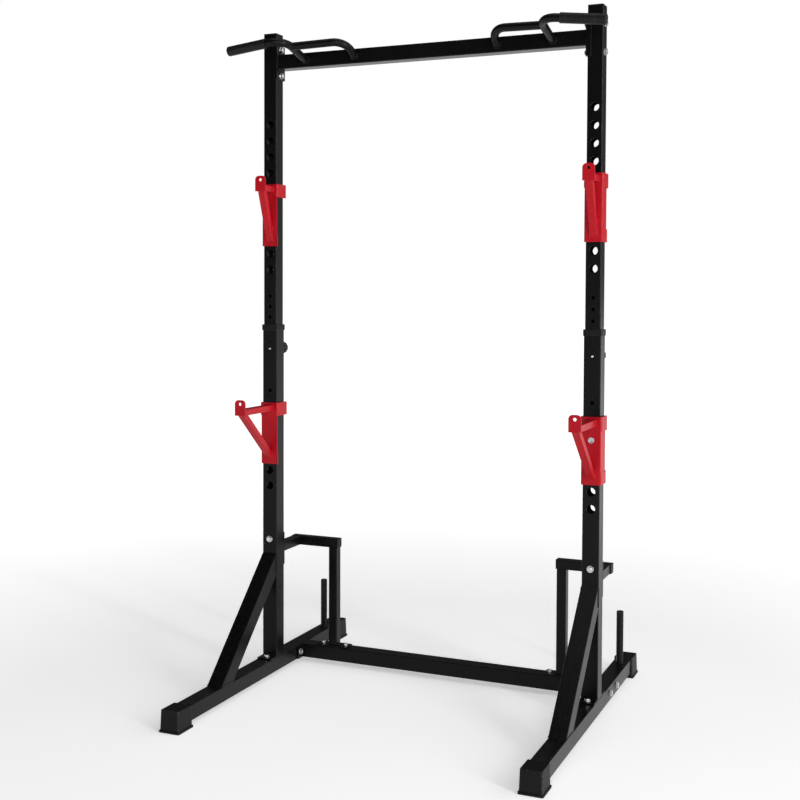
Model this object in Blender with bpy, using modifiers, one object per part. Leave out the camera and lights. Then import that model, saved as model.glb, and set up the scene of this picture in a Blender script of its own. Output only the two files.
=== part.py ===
"""Adjustable squat rack: two foot rails and a telescopic upright on each, joined by a crossbar
with pull-up handles, with bar hooks and safety arms that pull out of the uprights.

Run with: blender --background --python part.py
Metres, +Z up. +X is the rack's right and +Y its rear. The origin is on the floor, midway
between the rails and midway between the front and rear feet.
"""
import math

import bmesh
import bpy
from mathutils import Matrix, Vector

# Overall layout
UPRIGHT_SPACING = 1.044      # centre to centre
UPRIGHT_SET_BACK = 0.056     # uprights behind the middle of the rails
RAIL_LENGTH = 1.064
TOP_HEIGHT = 2.038           # top of the upper tubes, without their caps
LOWER_HEIGHT = 1.121         # top of the lower tubes
TUBE_OVERLAP = 0.240         # length of the upper tubes inside the lower ones
CROSSBAR_DROP = 0.088        # crossbar's centre below the top

# Tubes
LOWER_TUBE = 0.050
LOWER_WALL = 0.002
SLIDE_PLAY = 0.0005          # between the telescoping tubes, each side
UPPER_WALL = 0.002
RAIL_WIDTH = 0.050
RAIL_DEPTH = 0.045
RAIL_WALL = 0.002
CROSSBAR_TUBE = 0.045
CROSS_TUBE_WIDTH = 0.050
STAY_TUBE = 0.030
STAY_WALL = 0.0015
TUBE_CORNER = 0.0025
STAY_CORNER = 0.003

# Clearances
FACE_GAP = 0.0003            # between faces that touch
BOLT_PLAY = 0.0004           # bolt in its hole, on the radius
WELD_SINK = 0.001            # how far a welded piece runs into the other

# Plates
PLATE = 0.004
BASE_PLATE_LENGTH = 0.125
CROSSBAR_PLATE_HEIGHT = 0.106
CROSSBAR_PLATE_WRAP = 0.012  # how far the end channel laps over the upright
CROSSBAR_BOLT_OFFSET = 0.040
CROSS_PLATE_LENGTH = 0.112
CROSS_BOLT_OFFSET = 0.040
STAY_PLATE_HEIGHT = 0.104
STAY_BOLT_OFFSET = 0.037
STAY_FOOT_LENGTH = 0.108
VENT_RADIUS = 0.004          # drain hole in each end plate of a closed tube

# Feet
FOOT_WALL = 0.003
FOOT_LENGTH = 0.068
FOOT_SOLE = 0.015            # height of the rail's underside above the floor
FOOT_FLANGE = 0.0085         # the bottom flange, beyond the rail
FOOT_FLANGE_HEIGHT = 0.006
FOOT_TAPER = 0.002

# Front braces, at 45 degrees
BRACE_TOP = 0.395            # where the brace's upper face meets the upright
EAR_LENGTH = 0.010           # behind the upright's front face
EAR_ROOT = 0.012             # in front of it, welded to the brace
EAR_DROP = 0.010             # ear's top below the brace's
EAR_HEIGHT = 0.054
EAR_THICKNESS = 0.002

# Rear stays
CROSS_TUBE_SET_BACK = 0.171  # cross tube behind the uprights, centre to centre
STAY_HEIGHT = 0.402          # centre of the stay's horizontal tubes
STAY_INSET = 0.135           # post's centre inward of the upright's centre
CAP_THICKNESS = 0.003

# Weight pegs
PEG_SET_BACK = 0.362
PEG_RADIUS = 0.011
PEG_WALL = 0.002
PEG_HEIGHT = 0.165

# Holes in the uprights
HOLE_RADIUS = 0.0125
HOLE_PITCH = 0.0508
UPPER_HOLE_DROP = 0.2835     # first hole below the top
LOWER_HOLE_DROP = 0.2132     # first hole below the lower tube's top
LOWER_PITCH = 0.0495
LOWER_HOLES = 7
ADJUST_PITCH = 0.0333
ADJUST_HOLES = 5             # round holes above the lock pin
LIFT_STEPS = 4

# Height lock
LOCK_DROP = 0.073            # below the lower tube's top
LOCK_PIN_RADIUS = 0.004
LOCK_PIN_PLAY = 0.0006
LOCK_WINDOW_RADIUS = 0.0065  # hole in the front wall that shows the pin's end
BOSS_RADIUS = 0.010
BOSS_LENGTH = 0.010
KNOB_RADIUS = 0.020
KNOB_LENGTH = 0.028
COLLAR_SKIRT = 0.015
COLLAR_WALL = 0.0015
COLLAR_TOP = 0.0035

# Hooks: heights are from the hook's pin
HOOK_PIN_PLAY = 0.0015       # pin in the upright's hole, on the radius
HOOK_PLATE = 0.003
HOOK_PLAY = 0.0005
HOOK_TOP = 0.067
HOOK_BOTTOM = -0.128
BAND_HEIGHT = 0.041
BAND_EXTRA = 0.003
BAND_REACH = 0.006           # how far the side plates pass the upright's rear face
TAB_HEIGHT = 0.038
TAB_EXTRA = 0.001
SIDE_PLATE_SHARE = 0.95      # side plate's depth as a share of the upright's
LIP_DEPTH = 0.005            # short lip at the foot of the open side
PIN_END = 0.004              # how far the pin stands out of the upright's rear face
NOSE_WIDTH = 0.036
NOSE_LOW = 0.041
NOSE_HIGH = 0.089
NOSE_ROUND = 0.012
NOSE_HOLE_RADIUS = 0.005
NOSE_HOLE_DROP = 0.0125      # below the nose's top
NOSE_PLATE = 0.005
ARM_WIDTH = 0.030
ARM_TOP = 0.060
STRUT_THICKNESS = 0.018
STRUT_WIDTH = 0.022
BAR_HOOK_REACH = 0.0635      # nose's front face ahead of the upright
SAFETY_REACH = 0.185
SAFETY_HOLE = 2              # which hole holds the safety arm, counted from the top
BAR_STRUT_FOOT = -0.062      # where the strut's upper face meets the plate
SAFETY_STRUT_FOOT = -0.088

# Pull-up handles
HANDLE_RADIUS = 0.012
HANDLE_BEND = 0.050
LOOP_BEND = 0.054
LOOP_RISE = 0.036
LOOP_JOIN = 0.66             # where the loop joins, as a share of the outer leg
HANDLE_RISE = 0.036
OUTER_LEG_INSET = 0.125      # inward of the upright's centre
INNER_LEG_INSET = 0.292
OUTER_REACH = 0.140          # forward of the crossbar's face
INNER_REACH = 0.052
GRIP_END = 0.064             # grip's end outward of the upright's centre
GRIP_DROP = 0.022
GRIP_RADIUS = 0.015
GRIP_LENGTH = 0.128
GRIP_PLAY = 0.0003

# Fasteners
BOLT_RADIUS = 0.005
BOLT_HEAD_RADIUS = 0.0092
BOLT_HEAD = 0.0065
BOLT_STEPS = 10
HOLE_STEPS = 12
KNOB_STEPS = 20
SMALL_HOLE = 0.007           # holes up to this radius have fewer sides
SMALL_HOLE_STEPS = 8

# Worked out from the above
BRACE_TUBE = LOWER_TUBE
UPPER_TUBE = LOWER_TUBE - 2 * (LOWER_WALL + SLIDE_PLAY)
UPPER_BOTTOM = LOWER_HEIGHT - TUBE_OVERLAP
CROSSBAR_HEIGHT = TOP_HEIGHT - CROSSBAR_DROP
UPPER_FIRST_HOLE = TOP_HEIGHT - UPPER_HOLE_DROP
LOWER_FIRST_HOLE = LOWER_HEIGHT - LOWER_HOLE_DROP
LOCK_HEIGHT = LOWER_HEIGHT - LOCK_DROP
HOLED_LENGTH = UPPER_FIRST_HOLE - LOCK_HEIGHT - ADJUST_HOLES * ADJUST_PITCH
UPPER_HOLES = int(HOLED_LENGTH / HOLE_PITCH)
BAR_HOOK_HOLE = UPPER_HOLES // 2
HOOK_PIN_RADIUS = HOLE_RADIUS - HOOK_PIN_PLAY
RAIL_TOP = FOOT_SOLE + RAIL_DEPTH
RAIL_MIDDLE = FOOT_SOLE + RAIL_DEPTH / 2
PLATE_TOP = RAIL_TOP + FACE_GAP + PLATE
LIFT = LIFT_STEPS * ADJUST_PITCH
SIDES = (("left", -1), ("right", 1))


# ---------------------------------------------------------------- helpers

def clear_scene():
    for old in list(bpy.data.objects):
        bpy.data.objects.remove(old, do_unlink=True)


def new_collection(name):
    group = bpy.data.collections.new(name)
    bpy.context.scene.collection.children.link(group)
    return group


clear_scene()
RACK = new_collection("squat_rack")
CUTTERS = new_collection("cutters")


def new_material(name, colour, roughness, metallic):
    material = bpy.data.materials.new(name)
    material.use_nodes = True
    shader = material.node_tree.nodes["Principled BSDF"]
    shader.inputs["Base Color"].default_value = (*colour, 1.0)
    shader.inputs["Roughness"].default_value = roughness
    shader.inputs["Metallic"].default_value = metallic
    return material


def black_paint(name):
    return new_material(name + "_paint", (0.022, 0.023, 0.026), 0.45, 0.0)


def red_paint(name):
    return new_material(name + "_paint", (0.38, 0.006, 0.012), 0.35, 0.0)


def black_plastic(name):
    return new_material(name + "_plastic", (0.035, 0.036, 0.038), 0.55, 0.0)


def black_rubber(name):
    return new_material(name + "_rubber", (0.02, 0.02, 0.02), 0.8, 0.0)


def zinc(name):
    return new_material(name + "_zinc", (0.62, 0.63, 0.65), 0.3, 1.0)


def mesh_from(bm, name):
    mesh = bpy.data.meshes.new(name)
    bmesh.ops.recalc_face_normals(bm, faces=bm.faces)
    bm.to_mesh(mesh)
    bm.free()
    return mesh


def add_object(name, mesh, finish, place=Matrix(), parent=None):
    """Put a mesh in the rack's collection at a place in world space, with its own material."""
    obj = bpy.data.objects.new(name, mesh)
    RACK.objects.link(obj)
    obj.data.materials.append(finish(name))
    if parent is not None:
        obj.parent = parent
        obj.matrix_parent_inverse = parent.matrix_world.inverted()
    obj.matrix_world = place
    return obj


def add_tool(name, mesh, place=Matrix()):
    """Put a mesh among the cutters, which are not part of the rack."""
    obj = bpy.data.objects.new(name, mesh)
    CUTTERS.objects.link(obj)
    obj.matrix_world = place
    obj.hide_render = True
    obj.display_type = "WIRE"
    return obj


def boolean(obj, tool, operation):
    modifier = obj.modifiers.new(operation.lower(), "BOOLEAN")
    modifier.operation = operation
    modifier.solver = "EXACT"
    modifier.use_self = operation == "UNION"
    modifier.object = tool


def add_box(bm, low, high):
    """A box between two corners; returns its new vertices."""
    low, high = Vector(low), Vector(high)
    size = Matrix.Diagonal((*(high - low), 1.0))
    return bmesh.ops.create_cube(bm, size=1.0, matrix=Matrix.Translation((low + high) / 2) @ size)["verts"]


def add_rod(bm, start, end, radius):
    """A solid cylinder from start to end."""
    start, end = Vector(start), Vector(end)
    segments = HOLE_STEPS if radius > SMALL_HOLE else SMALL_HOLE_STEPS
    turn = (end - start).to_track_quat("Z", "Y").to_matrix().to_4x4()
    bmesh.ops.create_cone(
        bm, cap_ends=True, segments=segments, radius1=radius, radius2=radius,
        depth=(end - start).length, matrix=Matrix.Translation((start + end) / 2) @ turn)


def drill(obj, rods, place=Matrix(), boxes=()):
    """Cut (start, end, radius) rods and (low, high) boxes out of an object."""
    bm = bmesh.new()
    for start, end, radius in rods:
        add_rod(bm, start, end, radius)
    for low, high in boxes:
        add_box(bm, low, high)
    boolean(obj, add_tool(obj.name + "_drill", mesh_from(bm, obj.name + "_drill"), place), "DIFFERENCE")


def cut_boxes(obj, boxes, place=Matrix(), label="_slot"):
    bm = bmesh.new()
    for low, high in boxes:
        add_box(bm, low, high)
    boolean(obj, add_tool(obj.name + label, mesh_from(bm, obj.name + label), place), "DIFFERENCE")


def weld_boxes(obj, boxes, place=Matrix()):
    """Join boxes, which may overlap each other, onto an object."""
    bm = bmesh.new()
    for low, high in boxes:
        add_box(bm, low, high)
    boolean(obj, add_tool(obj.name + "_weld", mesh_from(bm, obj.name + "_weld"), place), "UNION")


def tube_mesh(name, width, depth, length, corner):
    """The outer skin of a square tube along +Z from 0 to its length, open at both ends."""
    bm = bmesh.new()
    add_box(bm, (-width / 2, -depth / 2, 0), (width / 2, depth / 2, length))
    ends = [face for face in bm.faces if abs(face.normal.z) > 0.5]
    bmesh.ops.delete(bm, geom=ends, context="FACES_ONLY")
    long_edges = [e for e in bm.edges if abs(e.verts[0].co.z - e.verts[1].co.z) > length / 2]
    bmesh.ops.bevel(bm, geom=long_edges, offset=corner, segments=2, profile=0.5, affect="EDGES")
    return mesh_from(bm, name)


def add_tube(name, width, depth, length, wall, corner, place, parent=None):
    tube = add_object(name, tube_mesh(name, width, depth, length, corner), black_paint, place, parent)
    shell = tube.modifiers.new("wall", "SOLIDIFY")
    shell.thickness = wall
    shell.offset = -1
    shell.use_even_offset = True
    return tube


def turned_mesh(name, profile, steps):
    """A closed solid turned about Z, from an outline that runs top to bottom on its outer side."""
    bm = bmesh.new()
    corners = [bm.verts.new((radius, 0, height)) for radius, height in profile]
    for first, second in zip(corners, corners[1:]):
        bm.edges.new((first, second))
    bmesh.ops.spin(
        bm, geom=bm.verts[:] + bm.edges[:], cent=(0, 0, 0), axis=(0, 0, 1), angle=2 * math.pi,
        steps=steps, use_merge=True)
    bmesh.ops.remove_doubles(bm, verts=bm.verts, dist=1e-6)
    mesh = mesh_from(bm, name)
    mesh.shade_smooth()
    mesh.set_sharp_from_angle(angle=math.radians(40))
    return mesh


def along(origin, direction):
    """A frame whose +Z runs along a direction."""
    turn = Vector(direction).to_track_quat("Z", "Y").to_matrix().to_4x4()
    return Matrix.Translation(origin) @ turn


def add_bolt(name, start, direction, grip, parent=None):
    """A bolt whose head bears at start and whose nut closes on the far side of its grip."""
    head, shank, nut = BOLT_HEAD_RADIUS, BOLT_RADIUS, BOLT_HEAD_RADIUS
    near, far = -FACE_GAP, grip + FACE_GAP
    profile = [
        (0, far + BOLT_HEAD + 0.003), (shank, far + BOLT_HEAD + 0.003), (shank, far + BOLT_HEAD),
        (nut, far + BOLT_HEAD), (nut, far), (shank, far), (shank, near), (head, near),
        (head, near - BOLT_HEAD + 0.001), (head - 0.0015, near - BOLT_HEAD), (0, near - BOLT_HEAD)]
    return add_object(name, turned_mesh(name, profile, BOLT_STEPS), zinc, along(start, direction), parent)


def bore_around(radius, play):
    """The radius of a faceted bore whose flats clear a rod by the play."""
    wanted = radius + play
    steps = HOLE_STEPS if wanted > SMALL_HOLE else SMALL_HOLE_STEPS
    return wanted / math.cos(math.pi / steps)


def bolt_hole(start, end):
    return (start, end, bore_around(BOLT_RADIUS, BOLT_PLAY))


# ---------------------------------------------------------------- base

def upright_x(side):
    return side * UPRIGHT_SPACING / 2


def add_rail(label, side):
    x = upright_x(side)
    start = Vector((x, -RAIL_LENGTH / 2, RAIL_MIDDLE))
    place = Matrix.Translation(start) @ Matrix.Rotation(-math.pi / 2, 4, "X")
    rail = add_tube(label + "_foot_rail", RAIL_WIDTH, RAIL_DEPTH, RAIL_LENGTH, RAIL_WALL, TUBE_CORNER,
                    place)
    y = UPRIGHT_SET_BACK + CROSS_TUBE_SET_BACK
    holes = []
    for offset in (-CROSS_BOLT_OFFSET, CROSS_BOLT_OFFSET):
        holes.append(bolt_hole((x - RAIL_WIDTH, y + offset, RAIL_MIDDLE),
                               (x + RAIL_WIDTH, y + offset, RAIL_MIDDLE)))
    drill(rail, holes)


def add_foot(label, side, end_name, end):
    """A moulded shoe that the rail's end is pushed into."""
    name = label + "_" + end_name + "_foot"
    half_width = RAIL_WIDTH / 2 + FOOT_FLANGE
    outer = RAIL_LENGTH / 2 + FOOT_FLANGE
    inner = RAIL_LENGTH / 2 - FOOT_LENGTH
    top = RAIL_TOP + FOOT_WALL
    bm = bmesh.new()
    add_box(bm, (-half_width, inner, 0), (half_width, outer, FOOT_FLANGE_HEIGHT))
    lid = max(bm.faces, key=lambda face: face.calc_center_median().z)
    bmesh.ops.inset_region(bm, faces=[lid], thickness=FOOT_FLANGE - FOOT_WALL - FOOT_TAPER)
    raised = bmesh.ops.extrude_face_region(bm, geom=[lid])["geom"]
    corners = [item for item in raised if isinstance(item, bmesh.types.BMVert)]
    bmesh.ops.delete(bm, geom=[lid], context="FACES_ONLY")
    for corner in corners:
        corner.co.z = top
        corner.co.x -= math.copysign(FOOT_TAPER, corner.co.x)
        corner.co.y -= math.copysign(FOOT_TAPER, corner.co.y - (inner + outer) / 2)
    place = Matrix.Translation((upright_x(side), 0, 0)) @ Matrix.Diagonal((1, end, 1, 1))
    bm.transform(place)
    foot = add_object(name, mesh_from(bm, name), black_plastic)
    x = upright_x(side)
    pocket = RAIL_LENGTH / 2 + FACE_GAP
    near, far = sorted((end * (inner - 0.01), end * pocket))
    bm = bmesh.new()
    add_box(bm, (x - RAIL_WIDTH / 2 - FACE_GAP, near, FOOT_SOLE - FACE_GAP),
            (x + RAIL_WIDTH / 2 + FACE_GAP, far, RAIL_TOP + FACE_GAP))
    boolean(foot, add_tool(name + "_pocket", mesh_from(bm, name + "_pocket")), "DIFFERENCE")


def add_lower_upright(label, side):
    """The outer tube, welded to its base plate, with the lock's boss on its rear face."""
    x, y = upright_x(side), UPRIGHT_SET_BACK
    name = label + "_lower_upright"
    bottom = PLATE_TOP - PLATE / 2
    half = LOWER_TUBE / 2
    tube = add_tube(name, LOWER_TUBE, LOWER_TUBE, LOWER_HEIGHT - bottom, LOWER_WALL, TUBE_CORNER,
                    Matrix.Translation((x, y, bottom)))
    bm = bmesh.new()
    add_box(bm, (x - half, y - BASE_PLATE_LENGTH / 2, PLATE_TOP - PLATE),
            (x + half, y + BASE_PLATE_LENGTH / 2, PLATE_TOP))
    add_rod(bm, (x, y + half - LOWER_WALL / 2, LOCK_HEIGHT), (x, y + half + BOSS_LENGTH, LOCK_HEIGHT),
            BOSS_RADIUS)
    boolean(tube, add_tool(name + "_weld", mesh_from(bm, name + "_weld")), "UNION")
    front, rear = y - LOWER_TUBE, y + LOWER_TUBE
    rods = []
    for count in range(LOWER_HOLES):
        z = LOWER_FIRST_HOLE - count * LOWER_PITCH
        rods.append(((x, front, z), (x, rear, z), HOLE_RADIUS))
    for z in stay_bolt_heights():
        rods.append(bolt_hole((x, front, z), (x, rear, z)))
    rods.append(((x, front, LOCK_HEIGHT), (x, y, LOCK_HEIGHT), LOCK_WINDOW_RADIUS))
    rods.append(((x, y, LOCK_HEIGHT), (x, rear, LOCK_HEIGHT), bore_around(LOCK_PIN_RADIUS, LOCK_PIN_PLAY)))
    drill(tube, rods)


def add_collar(label, side):
    """A moulded cap over the lower tube's end that guides the upper tube."""
    x, y = upright_x(side), UPRIGHT_SET_BACK
    name = label + "_collar"
    outer = LOWER_TUBE / 2 + FACE_GAP + COLLAR_WALL
    skirt = LOWER_TUBE / 2 + FACE_GAP
    throat = UPPER_TUBE / 2 + FACE_GAP
    bm = bmesh.new()
    add_box(bm, (x - outer, y - outer, LOWER_HEIGHT - COLLAR_SKIRT),
            (x + outer, y + outer, LOWER_HEIGHT + COLLAR_TOP))
    upright_edges = [e for e in bm.edges if abs(e.verts[0].co.z - e.verts[1].co.z) > COLLAR_SKIRT / 2]
    bmesh.ops.bevel(bm, geom=upright_edges, offset=TUBE_CORNER, segments=2, profile=0.5, affect="EDGES")
    collar = add_object(name, mesh_from(bm, name), black_plastic)
    cut_boxes(collar, [((x - skirt, y - skirt, LOWER_HEIGHT - COLLAR_SKIRT - 0.01),
                        (x + skirt, y + skirt, LOWER_HEIGHT + FACE_GAP))], label="_skirt")
    cut_boxes(collar, [((x - throat, y - throat, LOWER_HEIGHT - 0.001),
                        (x + throat, y + throat, LOWER_HEIGHT + COLLAR_TOP + 0.01))], label="_throat")


def add_front_brace(label, side):
    """A tube at 45 degrees between the rail's top and the upright's front, mitred at both ends."""
    x = upright_x(side)
    front = UPRIGHT_SET_BACK - LOWER_TUBE / 2
    name = label + "_front_brace"
    run = BRACE_TOP - RAIL_TOP
    slope = Vector((0, 1, 1)).normalized()
    across = Vector((0, 1, -1)).normalized() * BRACE_TUBE / 2
    foot = Vector((x, front - run, RAIL_TOP)) + across
    spare = 2 * BRACE_TUBE
    place = Matrix.Translation(foot - slope * spare) @ Matrix.Rotation(-math.pi / 4, 4, "X")
    length = run * math.sqrt(2) + 2 * spare
    brace = add_tube(name, BRACE_TUBE, BRACE_TUBE, length, RAIL_WALL, TUBE_CORNER, place)
    reach = run + 4 * spare
    wide = BRACE_TUBE
    cut_boxes(brace, [((x - wide, front - reach, RAIL_TOP + FACE_GAP - reach),
                       (x + wide, front + reach, RAIL_TOP + FACE_GAP))], label="_foot_cut")
    cut_boxes(brace, [((x - wide, front - FACE_GAP, 0), (x + wide, front + reach, reach))], label="_head_cut")
    ear_top = BRACE_TOP - EAR_DROP
    ear_bottom = ear_top - EAR_HEIGHT
    inner = LOWER_TUBE / 2 + FACE_GAP
    ears = []
    for edge in (-1, 1):
        near, far = sorted((x + edge * inner, x + edge * (inner + EAR_THICKNESS)))
        ears.append(((near, front - EAR_ROOT, ear_bottom), (far, front + EAR_LENGTH, ear_top)))
        near, far = sorted((x + edge * (inner - WELD_SINK), x + edge * (inner + EAR_THICKNESS)))
        ears.append(((near, front - EAR_ROOT, ear_bottom), (far, front - WELD_SINK, ear_top)))
    weld_boxes(brace, ears)


def stay_bolt_heights():
    return (STAY_HEIGHT - STAY_BOLT_OFFSET, STAY_HEIGHT + STAY_BOLT_OFFSET)


def add_cross_tube():
    """The rear tube between the rails, with an end plate welded on each end."""
    y = UPRIGHT_SET_BACK + CROSS_TUBE_SET_BACK
    end = UPRIGHT_SPACING / 2 - RAIL_WIDTH / 2 - FACE_GAP
    length = 2 * (end - PLATE / 2)
    place = Matrix.Translation((-length / 2, y, RAIL_MIDDLE)) @ Matrix.Rotation(math.pi / 2, 4, "Y")
    tube = add_tube("rear_cross_tube", RAIL_DEPTH, CROSS_TUBE_WIDTH, length, RAIL_WALL, TUBE_CORNER, place)
    plates = []
    for _, side in SIDES:
        near, far = sorted((side * (end - PLATE), side * end))
        plates.append(((near, y - CROSS_PLATE_LENGTH / 2, FOOT_SOLE),
                       (far, y + CROSS_PLATE_LENGTH / 2, RAIL_TOP)))
    weld_boxes(tube, plates)
    rods = []
    for _, side in SIDES:
        near, far = side * (end - 2 * PLATE), side * (end + PLATE)
        rods.append(((near, y, RAIL_MIDDLE), (far, y, RAIL_MIDDLE), VENT_RADIUS))
        for offset in (-CROSS_BOLT_OFFSET, CROSS_BOLT_OFFSET):
            rods.append(bolt_hole((near, y + offset, RAIL_MIDDLE), (far, y + offset, RAIL_MIDDLE)))
    drill(tube, rods)
    for label, side in SIDES:
        for place_name, offset in (("front", -CROSS_BOLT_OFFSET), ("rear", CROSS_BOLT_OFFSET)):
            start = (side * (UPRIGHT_SPACING / 2 + RAIL_WIDTH / 2), y + offset, RAIL_MIDDLE)
            add_bolt(label + "_cross_tube_bolt_" + place_name, start, (-side, 0, 0),
                     RAIL_WIDTH + FACE_GAP + PLATE)


def add_stay(label, side):
    """The bent stay from the upright's rear to the cross tube: bracket, top tube and post."""
    x, y = upright_x(side), UPRIGHT_SET_BACK
    half, gap = STAY_TUBE / 2, FACE_GAP
    rear_face = y + LOWER_TUBE / 2 + gap
    row_y = y + CROSS_TUBE_SET_BACK
    bracket_end = row_y - half - gap
    start = Vector((x, rear_face + PLATE / 2, STAY_HEIGHT))
    place = Matrix.Translation(start) @ Matrix.Rotation(-math.pi / 2, 4, "X")
    bracket = add_tube(label + "_stay_bracket", STAY_TUBE, STAY_TUBE, bracket_end - rear_face - PLATE / 2,
                       STAY_WALL, STAY_CORNER, place)
    weld_boxes(bracket, [((x - LOWER_TUBE / 2, rear_face, STAY_HEIGHT - STAY_PLATE_HEIGHT / 2),
                          (x + LOWER_TUBE / 2, rear_face + PLATE, STAY_HEIGHT + STAY_PLATE_HEIGHT / 2))])
    drill(bracket, [bolt_hole((x, y, z), (x, rear_face + 2 * PLATE, z)) for z in stay_bolt_heights()])
    bolt_start = (x, y - LOWER_TUBE / 2, stay_bolt_heights()[1])
    add_bolt(label + "_upright_bolt", bolt_start, (0, 1, 0), LOWER_TUBE + gap + PLATE)

    outer = x + side * half
    post_x = x - side * STAY_INSET
    inner = post_x - side * half
    start_x = min(outer, inner)
    place = Matrix.Translation((start_x, row_y, STAY_HEIGHT)) @ Matrix.Rotation(math.pi / 2, 4, "Y")
    add_tube(label + "_stay_top_tube", STAY_TUBE, STAY_TUBE, abs(outer - inner), STAY_WALL, STAY_CORNER,
             place)
    for place_name, edge, way in (("outer", outer, side), ("inner", inner, -side)):
        near, far = sorted((edge + way * gap, edge + way * (gap + CAP_THICKNESS)))
        name = label + "_stay_" + place_name + "_cap"
        bm = bmesh.new()
        add_box(bm, (near, row_y - half, STAY_HEIGHT - half), (far, row_y + half, STAY_HEIGHT + half))
        add_object(name, mesh_from(bm, name), black_plastic)

    foot_bottom = RAIL_TOP + gap
    foot_top = foot_bottom + PLATE
    post_start = foot_bottom + PLATE / 2
    post_end = STAY_HEIGHT - half - gap
    post = add_tube(label + "_stay_post", STAY_TUBE, STAY_TUBE, post_end - post_start, STAY_WALL, STAY_CORNER,
                    Matrix.Translation((post_x, row_y, post_start)))
    weld_boxes(post, [((post_x - STAY_FOOT_LENGTH / 2, row_y - CROSS_TUBE_WIDTH / 2 + 0.002, foot_bottom),
                       (post_x + STAY_FOOT_LENGTH / 2, row_y + CROSS_TUBE_WIDTH / 2 - 0.002, foot_top))])


def add_peg(label, side):
    """A plate-storage peg standing on the rail, with a moulded cap."""
    x, y = upright_x(side), UPRIGHT_SET_BACK + PEG_SET_BACK
    bottom = RAIL_TOP + FACE_GAP
    top = bottom + PEG_HEIGHT - CAP_THICKNESS
    bore = PEG_RADIUS - PEG_WALL
    profile = [(PEG_RADIUS, top), (PEG_RADIUS, bottom), (bore, bottom), (bore, top), (PEG_RADIUS, top)]
    name = label + "_weight_peg"
    add_object(name, turned_mesh(name, profile, HOLE_STEPS), black_paint, Matrix.Translation((x, y, 0)))
    plug = bore - FACE_GAP
    seat = top + FACE_GAP
    profile = [(0, seat + CAP_THICKNESS), (PEG_RADIUS - 0.001, seat + CAP_THICKNESS),
               (PEG_RADIUS, seat + 0.002), (PEG_RADIUS, seat), (plug, seat), (plug, seat - 0.010),
               (0, seat - 0.010)]
    name = label + "_peg_cap"
    add_object(name, turned_mesh(name, profile, HOLE_STEPS), black_plastic, Matrix.Translation((x, y, 0)))


def add_height_lock(label, side):
    """The pull pin that holds the upper tube, and its knob behind the upright."""
    x, y = upright_x(side), UPRIGHT_SET_BACK
    front = y - LOWER_TUBE / 2
    knob_start = y + LOWER_TUBE / 2 + BOSS_LENGTH + 0.001
    length = knob_start - FACE_GAP - front
    tip = LOCK_PIN_RADIUS - 0.001
    profile = [(0, length), (LOCK_PIN_RADIUS, length), (LOCK_PIN_RADIUS, 0.001), (tip, 0), (0, 0)]
    name = label + "_lock_pin"
    add_object(name, turned_mesh(name, profile, BOLT_STEPS), zinc, along((x, front, LOCK_HEIGHT), (0, 1, 0)))
    neck = KNOB_RADIUS * 0.6
    profile = [(0, KNOB_LENGTH), (KNOB_RADIUS - 0.003, KNOB_LENGTH), (KNOB_RADIUS, KNOB_LENGTH - 0.003),
               (KNOB_RADIUS, 0.012), (KNOB_RADIUS - 0.003, 0.009), (neck, 0.007), (neck, 0), (0, 0)]
    name = label + "_lock_knob"
    place = along((x, knob_start, LOCK_HEIGHT), (0, 1, 0))
    add_object(name, turned_mesh(name, profile, KNOB_STEPS), black_plastic, place)


# ---------------------------------------------------------------- upper frame

def add_upper_upright(label, side, frame):
    """The inner tube. Its lock holes run together into a slot where the lower tube hides them."""
    x, y = upright_x(side), UPRIGHT_SET_BACK
    name = label + "_upper_upright"
    tube = add_tube(name, UPPER_TUBE, UPPER_TUBE, TOP_HEIGHT - UPPER_BOTTOM, UPPER_WALL, TUBE_CORNER,
                    Matrix.Translation((x, y, UPPER_BOTTOM)), frame)
    front, rear = y - LOWER_TUBE, y + LOWER_TUBE
    pin_hole = bore_around(LOCK_PIN_RADIUS, LOCK_PIN_PLAY)
    rods = []
    for count in range(UPPER_HOLES):
        z = UPPER_FIRST_HOLE - count * HOLE_PITCH
        rods.append(((x, front, z), (x, rear, z), HOLE_RADIUS))
    for count in range(1, ADJUST_HOLES + 1):
        z = LOCK_HEIGHT + count * ADJUST_PITCH
        rods.append(((x, front, z), (x, rear, z), pin_hole))
    for offset in (-CROSSBAR_BOLT_OFFSET, CROSSBAR_BOLT_OFFSET):
        z = CROSSBAR_HEIGHT + offset
        rods.append(bolt_hole((x - LOWER_TUBE, y, z), (x + LOWER_TUBE, y, z)))
    slot = ((x - pin_hole, front, LOCK_HEIGHT - LIFT - pin_hole),
            (x + pin_hole, rear, LOCK_HEIGHT + pin_hole))
    drill(tube, rods, boxes=[slot])
    half = UPPER_TUBE / 2
    plug = half - UPPER_WALL - FACE_GAP
    seat = TOP_HEIGHT + FACE_GAP
    name = label + "_upright_cap"
    bm = bmesh.new()
    add_box(bm, (x - half, y - half, seat), (x + half, y + half, seat + CAP_THICKNESS))
    cap = add_object(name, mesh_from(bm, name), black_plastic, Matrix(), frame)
    weld_boxes(cap, [((x - plug + 0.001, y - plug + 0.001, seat - 0.012),
                      (x + plug - 0.001, y + plug - 0.001, seat + CAP_THICKNESS / 2))])


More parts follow.
